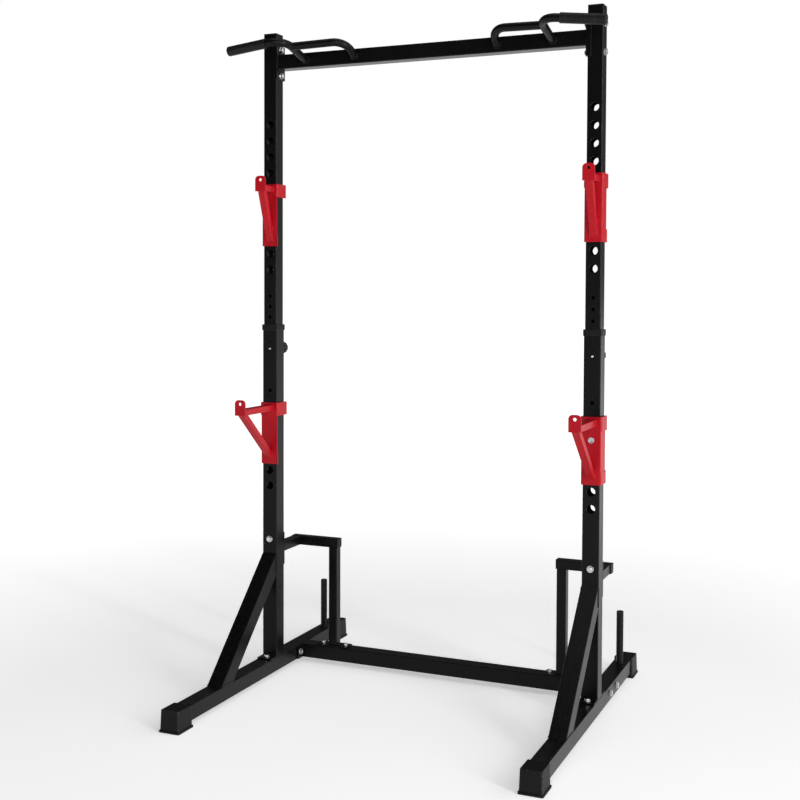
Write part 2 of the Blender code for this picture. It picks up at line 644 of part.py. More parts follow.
def add_end_channel(bm, side, end, clasp):
    """A channel that opens outward: its web is the crossbar's end plate, its flanges lap the upright."""
    y, low = UPRIGHT_SET_BACK, CROSSBAR_HEIGHT - CROSSBAR_PLATE_HEIGHT / 2
    back, tip, outer = end - PLATE, end + CROSSBAR_PLATE_WRAP, clasp + PLATE
    outline = [(back, -outer), (tip, -outer), (tip, -clasp), (end, -clasp),
               (end, clasp), (tip, clasp), (tip, outer), (back, outer)]
    section = bm.faces.new([bm.verts.new((side * x, y + across, low)) for x, across in outline])
    swept = bmesh.ops.extrude_face_region(bm, geom=[section])["geom"]
    far = [item for item in swept if isinstance(item, bmesh.types.BMVert)]
    bmesh.ops.translate(bm, verts=far, vec=(0, 0, CROSSBAR_PLATE_HEIGHT))


def add_crossbar(frame):
    """The top tube, welded at each end to a channel that clasps the upright and is bolted to it."""
    y = UPRIGHT_SET_BACK
    end = UPRIGHT_SPACING / 2 - UPPER_TUBE / 2 - FACE_GAP
    length = 2 * (end - PLATE / 2)
    half = UPPER_TUBE / 2
    place = Matrix.Translation((-length / 2, y, CROSSBAR_HEIGHT)) @ Matrix.Rotation(math.pi / 2, 4, "Y")
    bar = add_tube("crossbar", CROSSBAR_TUBE, CROSSBAR_TUBE, length, RAIL_WALL, TUBE_CORNER, place, frame)
    bm = bmesh.new()
    for _, side in SIDES:
        add_end_channel(bm, side, end, half + FACE_GAP)
    boolean(bar, add_tool("crossbar_ends", mesh_from(bm, "crossbar_ends")), "UNION")
    rods = []
    for _, side in SIDES:
        near, far = side * (end - 2 * PLATE), side * (end + PLATE)
        rods.append(((near, y, CROSSBAR_HEIGHT), (far, y, CROSSBAR_HEIGHT), VENT_RADIUS))
        for offset in (-CROSSBAR_BOLT_OFFSET, CROSSBAR_BOLT_OFFSET):
            rods.append(bolt_hole((near, y, CROSSBAR_HEIGHT + offset), (far, y, CROSSBAR_HEIGHT + offset)))
    drill(bar, rods)
    for label, side in SIDES:
        for place_name, offset in (("lower", -CROSSBAR_BOLT_OFFSET), ("upper", CROSSBAR_BOLT_OFFSET)):
            start = (side * (UPRIGHT_SPACING / 2 + half), y, CROSSBAR_HEIGHT + offset)
            add_bolt(label + "_crossbar_bolt_" + place_name, start, (-side, 0, 0),
                     UPPER_TUBE + FACE_GAP + PLATE, frame)


def rounded_path(corners, radius, steps=4):
    """The corner points of a bent tube, with each inner corner turned into an arc."""
    points = [Vector(corners[0])]
    for before, corner, after in zip(corners, corners[1:], corners[2:]):
        corner = Vector(corner)
        back = (Vector(before) - corner).normalized()
        ahead = (Vector(after) - corner).normalized()
        half_angle = back.angle(ahead) / 2
        centre = corner + (back + ahead).normalized() * (radius / math.sin(half_angle))
        tangent = radius / math.tan(half_angle)
        first = corner + back * tangent - centre
        last = corner + ahead * tangent - centre
        sweep = first.angle(last)
        for step in range(steps + 1):
            share = step / steps
            arm = first * math.sin((1 - share) * sweep) + last * math.sin(share * sweep)
            points.append(centre + arm / math.sin(sweep))
    points.append(Vector(corners[-1]))
    return points


def bent_tube_mesh(name, points, radius):
    """A solid bent bar along points, as a closed mesh."""
    curve = bpy.data.curves.new(name, "CURVE")
    curve.dimensions = "3D"
    curve.bevel_depth = radius
    curve.bevel_resolution = 4
    curve.use_fill_caps = True
    spline = curve.splines.new("POLY")
    spline.points.add(len(points) - 1)
    for point, position in zip(spline.points, points):
        point.co = (*position, 1.0)
    bent = bpy.data.objects.new(name, curve)
    CUTTERS.objects.link(bent)
    graph = bpy.context.evaluated_depsgraph_get()
    mesh = bpy.data.meshes.new_from_object(bent.evaluated_get(graph))
    bpy.data.objects.remove(bent)
    bpy.data.curves.remove(curve)
    bm = bmesh.new()
    bm.from_mesh(mesh)
    bmesh.ops.remove_doubles(bm, verts=bm.verts, dist=1e-5)
    bmesh.ops.recalc_face_normals(bm, faces=bm.faces)
    bm.to_mesh(mesh)
    bm.free()
    mesh.shade_smooth()
    mesh.set_sharp_from_angle(angle=math.radians(40))
    return mesh


def run_on(start, towards):
    """A point behind start, so that a leg can be cut flush where it is welded."""
    start = Vector(start)
    return start + (start - Vector(towards)).normalized() * HANDLE_RADIUS


def add_handle(label, side, frame):
    """The outer grip bar and the inner loop that joins it, welded to the crossbar's front."""
    x = upright_x(side)
    face = UPRIGHT_SET_BACK - CROSSBAR_TUBE / 2 - FACE_GAP
    low, high = CROSSBAR_HEIGHT, CROSSBAR_HEIGHT + HANDLE_RISE
    outer_leg = x - side * OUTER_LEG_INSET
    inner_leg = x - side * INNER_LEG_INSET
    tip = Vector((x + side * GRIP_END, face - OUTER_REACH, high - GRIP_DROP))
    bend = Vector((outer_leg, face - OUTER_REACH, high))
    path = rounded_path([run_on((outer_leg, face, low), bend), bend, tip], HANDLE_BEND)
    name = label + "_pull_up_handle"
    handle = add_object(name, bent_tube_mesh(name, path, HANDLE_RADIUS), black_paint, Matrix(), frame)
    join = Vector((outer_leg, face, low)).lerp(bend, LOOP_JOIN)
    corner = Vector((inner_leg, face - INNER_REACH, low + LOOP_RISE))
    loop = rounded_path([run_on((inner_leg, face, low), corner), corner, join], LOOP_BEND)
    tool = add_tool(name + "_loop", bent_tube_mesh(name + "_loop", loop, HANDLE_RADIUS))
    boolean(handle, tool, "UNION")
    inside = 4 * HANDLE_RADIUS
    cut_boxes(handle, [((-UPRIGHT_SPACING, face, low - inside),
                        (UPRIGHT_SPACING, face + inside, high + inside))])

    way = (tip - bend).normalized()
    bore = bore_around(HANDLE_RADIUS, GRIP_PLAY)
    profile = [(0, 0.003), (GRIP_RADIUS - 0.001, 0.003), (GRIP_RADIUS, 0.002), (GRIP_RADIUS, -GRIP_LENGTH),
               (bore, -GRIP_LENGTH), (bore, GRIP_PLAY), (0, GRIP_PLAY)]
    name = label + "_hand_grip"
    add_object(name, turned_mesh(name, profile, HOLE_STEPS), black_rubber, along(tip, way), frame)


# ---------------------------------------------------------------- hooks

def strut_mesh(name, near_nose, at_plate, top, foot):
    """A flat bar under the arm, from just behind the nose down to the front plate.

    Its lower face starts at the nose's back; its upper face meets the plate at foot.
    """
    run, drop = at_plate - near_nose, top - foot
    lean = STRUT_THICKNESS
    for _ in range(8):
        lean = STRUT_THICKNESS * math.hypot(run - lean, drop) / drop
    upper_start = near_nose + lean
    slope = drop / (at_plate - upper_start)
    outline = [(near_nose, top), (upper_start, top), (at_plate, foot), (at_plate, top - slope * run)]
    bm = bmesh.new()
    section = bm.faces.new([bm.verts.new((-STRUT_WIDTH / 2, y, z)) for y, z in outline])
    swept = bmesh.ops.extrude_face_region(bm, geom=[section])["geom"]
    far = [item for item in swept if isinstance(item, bmesh.types.BMVert)]
    bmesh.ops.translate(bm, verts=far, vec=(STRUT_WIDTH, 0, 0))
    return mesh_from(bm, name)


def add_hook(name, side, tube, pin_height, reach, strut_foot, parent=None):
    """A folded plate that straddles the upright, with an arm, a nose and a strut, on its pin.

    The hook's own frame has its origin where the pin enters the upright's front face.
    """
    place = Matrix.Translation((upright_x(side), UPRIGHT_SET_BACK - tube / 2, pin_height))
    inner = tube / 2 + HOOK_PLAY
    skin = inner + HOOK_PLATE
    front = -HOOK_PLAY - HOOK_PLATE
    rear = tube + BAND_REACH
    arm = ARM_WIDTH / 2
    nose = NOSE_WIDTH / 2
    nose_back = -reach + NOSE_PLATE

    bm = bmesh.new()
    add_box(bm, (-skin, front, HOOK_BOTTOM), (skin, -HOOK_PLAY, HOOK_TOP))
    hook = add_object(name, mesh_from(bm, name), red_paint, place, parent)

    def flange(way, thickness, low, high, depth):
        near, far = sorted((way * inner, way * (inner + thickness)))
        return ((near, -HOOK_PLAY - WELD_SINK, low), (far, depth, high))

    band_low = HOOK_TOP - BAND_HEIGHT
    band = HOOK_PLATE + BAND_EXTRA
    boxes = [flange(side, HOOK_PLATE, HOOK_BOTTOM, HOOK_TOP, tube * SIDE_PLATE_SHARE)]
    for way in (-1, 1):
        boxes.append(flange(way, band, band_low, HOOK_TOP, rear))
        near, far = sorted((way * inner, way * (inner + band)))
        boxes.append(((near, front - WELD_SINK, band_low), (far, -HOOK_PLAY, HOOK_TOP)))
    tab_high = HOOK_BOTTOM + TAB_HEIGHT
    boxes.append(flange(side, HOOK_PLATE + TAB_EXTRA, HOOK_BOTTOM, tab_high, rear))
    boxes.append(flange(-side, HOOK_PLATE, HOOK_BOTTOM, tab_high, LIP_DEPTH))
    boxes.append(((-arm, nose_back - WELD_SINK, NOSE_LOW), (arm, front + WELD_SINK, ARM_TOP)))
    weld_boxes(hook, boxes, place)

    bm = bmesh.new()
    add_box(bm, (-nose, -reach, NOSE_LOW), (nose, nose_back, NOSE_HIGH))
    top_corners = [e for e in bm.edges
                   if min(v.co.z for v in e.verts) > NOSE_LOW and abs(e.verts[0].co.y - e.verts[1].co.y) > 1e-4]
    bmesh.ops.bevel(bm, geom=top_corners, offset=NOSE_ROUND, segments=4, profile=0.5, affect="EDGES")
    boolean(hook, add_tool(name + "_nose", mesh_from(bm, name + "_nose"), place), "UNION")

    strut = strut_mesh(name + "_strut", nose_back, front + WELD_SINK, NOSE_LOW + WELD_SINK, strut_foot)
    boolean(hook, add_tool(name + "_strut", strut, place), "UNION")

    eye = NOSE_HIGH - NOSE_HOLE_DROP
    drill(hook, [((0, 2 * front, 0), (0, HOOK_PLATE, 0), bore_around(HOOK_PIN_RADIUS, FACE_GAP)),
                 ((0, -reach - NOSE_PLATE, eye), (0, nose_back + NOSE_PLATE, eye), NOSE_HOLE_RADIUS)], place)

    length = tube + PIN_END - front
    tip = HOOK_PIN_RADIUS - 0.002
    profile = [(0, length), (tip, length), (HOOK_PIN_RADIUS, length - 0.002), (HOOK_PIN_RADIUS, 0.001),
               (HOOK_PIN_RADIUS - 0.001, 0), (0, 0)]
    pin = add_object(name + "_pin", turned_mesh(name + "_pin", profile, HOLE_STEPS), zinc,
                     place @ along((0, front, 0), (0, 1, 0)), parent)
    return hook, pin


# ---------------------------------------------------------------- assembly

def build_base():
    for label, side in SIDES:
        add_rail(label, side)
        for end_name, end in (("front", -1), ("rear", 1)):
            add_foot(label, side, end_name, end)
        add_lower_upright(label, side)
        add_collar(label, side)
        add_front_brace(label, side)
        add_stay(label, side)
        add_peg(label, side)
        add_height_lock(label, side)
        pin_height = LOWER_FIRST_HOLE - SAFETY_HOLE * LOWER_PITCH
        add_hook(label + "_safety_arm", side, LOWER_TUBE, pin_height, SAFETY_REACH, SAFETY_STRUT_FOOT)
    add_cross_tube()


def build_upper_frame():
    frame = bpy.data.objects.new("upper_frame", None)
    RACK.objects.link(frame)
    frame.location = (0, UPRIGHT_SET_BACK, LOCK_HEIGHT)
    bpy.context.view_layer.update()
    add_crossbar(frame)
    for label, side in SIDES:
        add_upper_upright(label, side, frame)
        add_handle(label, side, frame)
        pin_height = UPPER_FIRST_HOLE - BAR_HOOK_HOLE * HOLE_PITCH
        add_hook(label + "_bar_hook", side, UPPER_TUBE, pin_height, BAR_HOOK_REACH, BAR_STRUT_FOOT, frame)


build_base()
build_upper_frame()
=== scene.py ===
import math

import bmesh
import bpy
from mathutils import Matrix, Vector


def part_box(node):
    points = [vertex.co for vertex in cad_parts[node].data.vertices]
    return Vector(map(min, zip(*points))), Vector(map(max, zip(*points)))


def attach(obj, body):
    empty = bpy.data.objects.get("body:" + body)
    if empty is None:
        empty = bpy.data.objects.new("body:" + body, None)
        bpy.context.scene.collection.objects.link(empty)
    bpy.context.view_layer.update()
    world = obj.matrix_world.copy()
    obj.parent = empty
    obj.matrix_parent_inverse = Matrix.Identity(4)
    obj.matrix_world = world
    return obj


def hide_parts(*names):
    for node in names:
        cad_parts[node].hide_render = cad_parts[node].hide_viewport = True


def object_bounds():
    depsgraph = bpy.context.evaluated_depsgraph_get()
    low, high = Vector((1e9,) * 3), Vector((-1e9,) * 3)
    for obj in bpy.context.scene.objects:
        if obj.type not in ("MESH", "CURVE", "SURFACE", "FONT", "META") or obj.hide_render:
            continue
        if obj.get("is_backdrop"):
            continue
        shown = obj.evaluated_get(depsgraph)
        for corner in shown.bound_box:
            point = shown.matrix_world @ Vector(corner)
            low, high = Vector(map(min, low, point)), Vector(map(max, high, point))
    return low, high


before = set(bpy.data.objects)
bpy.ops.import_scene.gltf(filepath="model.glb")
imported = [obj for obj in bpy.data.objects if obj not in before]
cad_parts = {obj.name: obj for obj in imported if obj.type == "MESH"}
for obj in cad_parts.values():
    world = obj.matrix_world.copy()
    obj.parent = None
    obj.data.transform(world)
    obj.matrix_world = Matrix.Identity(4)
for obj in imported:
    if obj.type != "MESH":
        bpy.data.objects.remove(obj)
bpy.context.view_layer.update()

# Studio. A pale matt floor that runs out of sight under a white sky, with a tall strip light at
# the right, a soft light overhead and a weak one in front. The camera stands to the right of the
# rack's middle, at chest height.
bpy.context.scene.view_settings.view_transform = "Standard"

camera_data = bpy.data.cameras.new("camera")
camera_data.lens = 54.73
camera_data.sensor_width = 36.0
camera_data.shift_y = -0.0814
camera = bpy.data.objects.new("camera", camera_data)
bpy.context.scene.collection.objects.link(camera)
heading = Matrix.Rotation(math.radians(23.13), 4, "Z")
tilt = Matrix.Rotation(math.radians(88.0), 4, "X")
roll = Matrix.Rotation(math.radians(0.22), 4, "Z")
camera.matrix_world = Matrix.Translation((1.3754, -3.357, 1.2276)) @ heading @ tilt @ roll
bpy.context.scene.camera = camera


def add_soft_light(name, place, aim, width, height, power):
    lamp = bpy.data.lights.new(name, "AREA")
    lamp.shape = "RECTANGLE"
    lamp.size = width
    lamp.size_y = height
    lamp.energy = power
    obj = bpy.data.objects.new(name, lamp)
    bpy.context.scene.collection.objects.link(obj)
    turn = (Vector(aim) - Vector(place)).to_track_quat("-Z", "Y").to_matrix().to_4x4()
    obj.matrix_world = Matrix.Translation(place) @ turn


add_soft_light("right_strip", (4.4, -2.4, 1.5), (0.0, 0.0, 1.0), 0.40, 3.0, 95.0)
add_soft_light("overhead", (0.2, -0.2, 4.8), (0.0, 0.0, 0.6), 3.0, 3.0, 36.0)
add_soft_light("front_fill", (3.0, -7.0, 2.2), (0.0, 0.0, 1.0), 1.6, 1.6, 85.0)

floor_half_width = 40.0
just_under_the_feet = Matrix.Translation((0, 0, -0.0003))
floor_bm = bmesh.new()
bmesh.ops.create_grid(floor_bm, x_segments=1, y_segments=1, size=floor_half_width, matrix=just_under_the_feet)
floor_mesh = bpy.data.meshes.new("floor")
floor_bm.to_mesh(floor_mesh)
floor_bm.free()
floor = bpy.data.objects.new("floor", floor_mesh)
bpy.context.scene.collection.objects.link(floor)
floor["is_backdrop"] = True


# Foot rails. 50 x 45 mm welded steel tube with 2 mm walls, sawn square, drilled for the cross
# tube's bolts and powder coated satin black. They carry everything else.
class Signal:
    """A value, colour or vector in a finish. Arithmetic on it adds the Math nodes."""

    def __init__(self, tree, socket=None):
        self.tree = tree
        self.socket = socket

    def node(self, kind, settings, inputs, output=0):
        made = self.tree.nodes.new(kind)
        for key, value in settings.items():
            setattr(made, key, value)
        for key, value in inputs.items():
            if isinstance(value, Signal):
                self.tree.links.new(value.socket, made.inputs[key])
            else:
                made.inputs[key].default_value = value
        return Signal(self.tree, made.outputs[output])

    def maths(self, operation, *values):
        return self.node("ShaderNodeMath", {"operation": operation}, dict(enumerate(values)))

    def __add__(self, other):
        return self.maths("ADD", self, other)

    def __radd__(self, other):
        return self.maths("ADD", other, self)

    def __sub__(self, other):
        return self.maths("SUBTRACT", self, other)

    def __rsub__(self, other):
        return self.maths("SUBTRACT", other, self)

    def __mul__(self, other):
        return self.maths("MULTIPLY", self, other)

    def __rmul__(self, other):
        return self.maths("MULTIPLY", other, self)

    def noise(self, scale, detail=2.0):
        return self.node("ShaderNodeTexNoise", {}, {"Vector": self, "Scale": scale, "Detail": detail})

    def between(self, low, high):
        """Nought below the low value and one above the high one, with a straight run between."""
        return self.node("ShaderNodeMapRange", {}, {"Value": self, "From Min": low, "From Max": high})

    def blend(self, first, second):
        """Mix two colours by this share."""
        return self.node("ShaderNodeMix", {"data_type": "RGBA"}, {0: self, 6: first, 7: second}, 2)


def new_finish(name, roughness, metallic=0.0, specular=0.5):
    """A material, its shader, a starting signal and the piece's own coordinates."""
    material = bpy.data.materials.new(name)
    material.use_nodes = True
    shader = material.node_tree.nodes["Principled BSDF"]
    shader.inputs["Roughness"].default_value = roughness
    shader.inputs["Metallic"].default_value = metallic
    shader.inputs["Specular IOR Level"].default_value = specular
    start = Signal(material.node_tree)
    place = start.node("ShaderNodeTexCoord", {}, {}, "Object")
    return material, shader, start, place


def connect(shader, socket, signal):
    signal.tree.links.new(signal.socket, shader.inputs[socket])


def connect_relief(shader, height, depth, strength=1.0):
    inputs = {"Height": height, "Distance": depth, "Strength": strength}
    relief = height.node("ShaderNodeBump", {}, inputs)
    connect(shader, "Normal", relief)


def powder_coat(name, colour, edge_wear_and_highlight_colour, roughness, specular):
    """Baked powder: a soft orange peel, a fine grain, and a thinner glossier film on the edges, whose lighter colour
    there is partly wear and partly a painted highlight along the edges.
    """
    material, shader, start, place = new_finish(name, roughness, specular=specular)
    peel = place.noise(380.0, 2.0)
    grain = place.noise(2400.0, 2.0)
    cloud = place.noise(7.0, 4.0)
    rub = place.noise(160.0, 5.0)
    edge = start.node("ShaderNodeAttribute", {"attribute_name": "edge"}, {}, "Fac")
    # The edge mask lightens the narrow edge faces: partly a thinner worn film, partly a painted highlight standing in
    # for the light caught on the rounded corners.
    worn_edge_and_highlight = edge * rub.between(0.42, 0.62)
    smudge = cloud.between(0.35, 0.75)
    facing = start.node("ShaderNodeTexCoord", {}, {}, "Normal")
    up = start.node("ShaderNodeSeparateXYZ", {}, {0: facing}, "Z")
    dust = up.between(0.6, 1.0) * place.noise(90.0, 6.0).between(0.45, 0.75) * 0.10
    shade = smudge.blend(colour, [1.22 * level for level in colour[:3]] + [1.0])
    shade = dust.blend(shade, (0.16, 0.155, 0.15, 1.0))
    shade = (worn_edge_and_highlight * 0.55).blend(shade, edge_wear_and_highlight_colour)
    connect(shader, "Base Color", shade)
    gloss = roughness + 0.05 * smudge + 0.05 * grain - 0.10 * worn_edge_and_highlight + 0.10 * dust
    connect(shader, "Roughness", gloss)
    connect_relief(shader, peel * 0.75 + grain * 0.25, 0.00022, 0.55)
    return material


# Its lighter edge colour is partly worn film and partly a painted highlight along the tube corners.
black_paint = powder_coat(
    "black_paint", colour=(0.0026, 0.0027, 0.0030, 1.0), edge_wear_and_highlight_colour=(0.022, 0.023, 0.025, 1.0), roughness=0.25, specular=0.13)


def ease(bm, edges, width, segments):
    """Round some edges over."""
    bmesh.ops.bevel(bm, geom=edges, offset=width, segments=segments, profile=0.5, affect="EDGES", material=-1)


def add_plate(bm, low, high, rounding=0.0008, segments=2):
    """A flat bar or block between two corners, with its edges eased."""
    low, high = Vector(low), Vector(high)
    middle = Matrix.Translation((low + high) / 2) @ Matrix.Diagonal((*(high - low), 1.0))
    corners = bmesh.ops.create_cube(bm, size=1.0, matrix=middle)["verts"]
    edges = list({edge for corner in corners for edge in corner.link_edges})
    ease(bm, edges, rounding, segments)


def add_rod(bm, start, end, radius, sides=32):
    start, end = Vector(start), Vector(end)
    turn = (end - start).to_track_quat("Z", "Y").to_matrix().to_4x4()
    place = Matrix.Translation((start + end) / 2) @ turn
    bmesh.ops.create_cone(
        bm, cap_ends=True, segments=sides, radius1=radius, radius2=radius, depth=(end - start).length, matrix=place)


def join_in(bm, part):
    """Move a finished shape into a piece that is made of several."""
    mesh = bpy.data.meshes.new("part")
    part.to_mesh(mesh)
    part.free()
    bm.from_mesh(mesh)
    bpy.data.meshes.remove(mesh)


def add_square_tube(bm, place, length, width, depth, wall=0.002, corner=0.0027):
    """Hollow tube along +Z of its place, with rounded corners inside and out."""
    section = bmesh.new()
    bmesh.ops.create_grid(section, x_segments=1, y_segments=1, size=0.5)
    bmesh.ops.scale(section, vec=(width, depth, 1.0), verts=section.verts)
    corners = section.verts[:]
    bmesh.ops.bevel(section, geom=corners, offset=corner, segments=6, profile=0.5, affect="VERTICES", material=-1)
    inset = bmesh.ops.inset_region(
        section, faces=section.faces[:], thickness=wall, use_even_offset=True, use_boundary=True)
    bore = [face for face in section.faces if face not in inset["faces"]]
    bmesh.ops.delete(section, geom=bore, context="FACES_ONLY")
    raised = bmesh.ops.extrude_face_region(section, geom=section.faces[:])["geom"]
    far = [item for item in raised if isinstance(item, bmesh.types.BMVert)]
    bmesh.ops.translate(section, verts=far, vec=(0, 0, length))
    bmesh.ops.transform(section, matrix=place, verts=section.verts)
    bmesh.ops.recalc_face_normals(section, faces=section.faces)
    join_in(bm, section)


def cut_away(bm, cutter):
    """Take one closed shape out of another, and give back what is left."""
    both = []
    for shape in (bm, cutter):
        bmesh.ops.recalc_face_normals(shape, faces=shape.faces)
        mesh = bpy.data.meshes.new("shape")
        shape.to_mesh(mesh)
        shape.free()
        obj = bpy.data.objects.new("shape", mesh)
        bpy.context.scene.collection.objects.link(obj)
        both.append(obj)
    drill = both[0].modifiers.new("drill", "BOOLEAN")
    drill.operation = "DIFFERENCE"
    drill.solver = "EXACT"
    drill.object = both[1]
    graph = bpy.context.evaluated_depsgraph_get()
    mesh = bpy.data.meshes.new_from_object(both[0].evaluated_get(graph))
    left = bmesh.new()
    left.from_mesh(mesh)
    bpy.data.meshes.remove(mesh)
    for obj in both:
        used = obj.data
        bpy.data.objects.remove(obj)
        bpy.data.meshes.remove(used)
    return left


def finish_piece(name, bm, material, body, stands_for=(), easing=0.0, crease=32.0):
    """Close a shape, mark its narrow edge faces, shade it and fix it to its body."""
    bmesh.ops.recalc_face_normals(bm, faces=bm.faces)
    widest_edge_face = 0.0021
    edge_layer = bm.verts.layers.float.new("edge")
    for vert in bm.verts:
        widths = [face.calc_area() / max(edge.calc_length() for edge in face.edges) for face in vert.link_faces]
        vert[edge_layer] = 1.0 if widths and max(widths) < widest_edge_face else 0.0
    mesh = bpy.data.meshes.new(name)
    bm.to_mesh(mesh)
    bm.free()
    mesh.shade_smooth()
    mesh.set_sharp_from_angle(angle=math.radians(crease))
    mesh.materials.append(material)
    obj = bpy.data.objects.new(name, mesh)
    bpy.context.scene.collection.objects.link(obj)
    if easing:
        eased = obj.modifiers.new("eased_edges", "BEVEL")
        eased.width = easing
        eased.segments = 2
        eased.limit_method = "ANGLE"
        eased.angle_limit = math.radians(50.0)
    level = obj.modifiers.new("flat_faces", "WEIGHTED_NORMAL")
    level.keep_sharp = True
    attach(obj, body)
    if stands_for:
        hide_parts(*stands_for)
    return obj


def crosswise_hole(cutter, x_range, y, z, radius):
    """A hole that runs through everything between two x positions."""
    add_rod(cutter, (x_range[0] - 0.01, y, z), (x_range[1] + 0.01, y, z), radius)


bolt_clearance = 0.0056      # radius of the hole for a 10 mm bolt
cross_tube_y = 0.227
bolt_offset = 0.040          # bolts either side of a tube's middle
for label in ("left", "right"):
    low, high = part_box(label + "_foot_rail")
    middle = (low + high) / 2
    bm = bmesh.new()
    turn = Matrix.Rotation(-math.pi / 2, 4, "X")
    start = Matrix.Translation((middle.x, low.y, middle.z)) @ turn
    add_square_tube(bm, start, high.y - low.y, high.x - low.x, high.z - low.z)
    holes = bmesh.new()
    for y in (cross_tube_y - bolt_offset, cross_tube_y + bolt_offset):
        crosswise_hole(holes, (low.x, high.x), y, middle.z, bolt_clearance)
    bm = cut_away(bm, holes)
    finish_piece(label + "_rail_tube", bm, black_paint, "base", [label + "_foot_rail"], 0.0004)


# Feet. Moulded black plastic shoes pushed over the rails' ends, with a little draft on their
# sides and a flange round the sole that stands on the floor.
def moulded_plastic(name, colour, roughness):
    """Injection moulded plastic with a fine spark-eroded grain and faint flow marks."""
    material, shader, start, place = new_finish(name, roughness, specular=0.15)
    grain = place.node("ShaderNodeTexVoronoi", {"feature": "SMOOTH_F1"}, {"Vector": place, "Scale": 1500.0})
    flow = place.noise(14.0, 5.0)
    edge = start.node("ShaderNodeAttribute", {"attribute_name": "edge"}, {}, "Fac")
    scuff = edge * place.noise(220.0, 4.0).between(0.45, 0.65)
    shade = flow.between(0.3, 0.8).blend(colour, [1.35 * level for level in colour[:3]] + [1.0])
    shade = (scuff * 0.5).blend(shade, (0.085, 0.085, 0.088, 1.0))
    connect(shader, "Base Color", shade)
    connect(shader, "Roughness", roughness + 0.12 * flow - 0.08 * scuff)
    connect_relief(shader, grain, 0.00012, 0.6)
    return material


black_plastic = moulded_plastic("black_plastic", (0.0052, 0.0053, 0.0057, 1.0), 0.44)

for label in ("left", "right"):
    rail_low, rail_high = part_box(label + "_foot_rail")
    for end_name, end in (("front", -1), ("rear", 1)):
        low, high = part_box(label + "_" + end_name + "_foot")
        middle = (low + high) / 2
        size = high - low
        flange = 0.0058
        bm = bmesh.new()
        base = Matrix.Translation((middle.x, middle.y, flange / 2)) @ Matrix.Diagonal((size.x, size.y, flange, 1.0))
        bmesh.ops.create_cube(bm, size=1.0, matrix=base)
        lid = max(bm.faces, key=lambda face: face.calc_center_median().z)
        bmesh.ops.inset_region(bm, faces=[lid], thickness=0.0036)
        raised = bmesh.ops.extrude_face_region(bm, geom=[lid])["geom"]
        rim = [item for item in raised if isinstance(item, bmesh.types.BMVert)]
        bmesh.ops.delete(bm, geom=[lid], context="FACES_ONLY")
        bmesh.ops.translate(bm, verts=rim, vec=(0, 0, size.z - flange))
        draft = Matrix.Translation(middle) @ Matrix.Diagonal(
            (1 - 0.0038 / size.x, 1 - 0.0038 / size.y, 1.0, 1.0)) @ Matrix.Translation(-middle)
        bmesh.ops.transform(bm, matrix=draft, verts=rim)
        upright_edges = [e for e in bm.edges if abs(e.verts[0].co.z - e.verts[1].co.z) > 0.004]
        bmesh.ops.bevel(
            bm, geom=upright_edges, offset=0.0045, segments=4, profile=0.5, affect="EDGES", material=-1)
        top_edges = [e for e in bm.edges if min(v.co.z for v in e.verts) > high.z - 0.0005]
        bmesh.ops.bevel(bm, geom=top_edges, offset=0.0018, segments=3, profile=0.5, affect="EDGES", material=-1)
        pocket = bmesh.new()
        inner, outer = (low.y, high.y) if end > 0 else (high.y, low.y)
        near, far = sorted((inner - end * 0.02, end * (rail_high.y + 0.0003)))
        add_plate(pocket, (rail_low.x - 0.0003, near, rail_low.z - 0.0003),
                  (rail_high.x + 0.0003, far, rail_high.z + 0.0003), 0.0032, 3)
        bm = cut_away(bm, pocket)
        finish_piece(label + "_" + end_name + "_shoe", bm, black_plastic, "base",
                     [label + "_" + end_name + "_foot"], 0.0005)


# Lower uprights. 50 mm square tube with 2 mm walls, welded to a base plate that is bolted on the
# rail, with a row of 25 mm holes for the safety arms and a threaded boss behind for the lock.
def add_bead(bm, start, end, radius=0.0024):
    """A fillet weld laid along a line, with the ripples of the weld pool."""
    start, end = Vector(start), Vector(end)
    length = (end - start).length
    run = bmesh.new()
    add_rod(run, (0, 0, 0), (0, 0, length), radius, 8)
    long_edges = [e for e in run.edges if abs(e.verts[0].co.z - e.verts[1].co.z) > length / 2]
    ripples = max(2, round(length / 0.0024))
    bmesh.ops.subdivide_edges(run, edges=long_edges, cuts=2 * ripples - 1, use_grid_fill=False)
    for vert in run.verts:
        step = round(vert.co.z / length * 2 * ripples)
        swell = 0.72 if step in (0, 2 * ripples) else (1.0 if step % 2 else 0.86)
        vert.co.x *= swell
        vert.co.y *= swell
    turn = (end - start).to_track_quat("Z", "Y").to_matrix().to_4x4()
    bmesh.ops.transform(run, matrix=Matrix.Translation(start) @ turn, verts=run.verts)
    join_in(bm, run)


def add_turned(bm, profile, place, steps=40):
    """Turn an outline of (radius, height) pairs about +Z of its place."""
    turned = bmesh.new()
    corners = [turned.verts.new((radius, 0, height)) for radius, height in profile]
    edges = [turned.edges.new(pair) for pair in zip(corners, corners[1:])]
    bmesh.ops.spin(
        turned, geom=corners + edges, cent=(0, 0, 0), axis=(0, 0, 1), angle=2 * math.pi, steps=steps, use_merge=True)
    bmesh.ops.remove_doubles(turned, verts=turned.verts, dist=1e-6)
    bmesh.ops.transform(turned, matrix=place, verts=turned.verts)
    join_in(bm, turned)


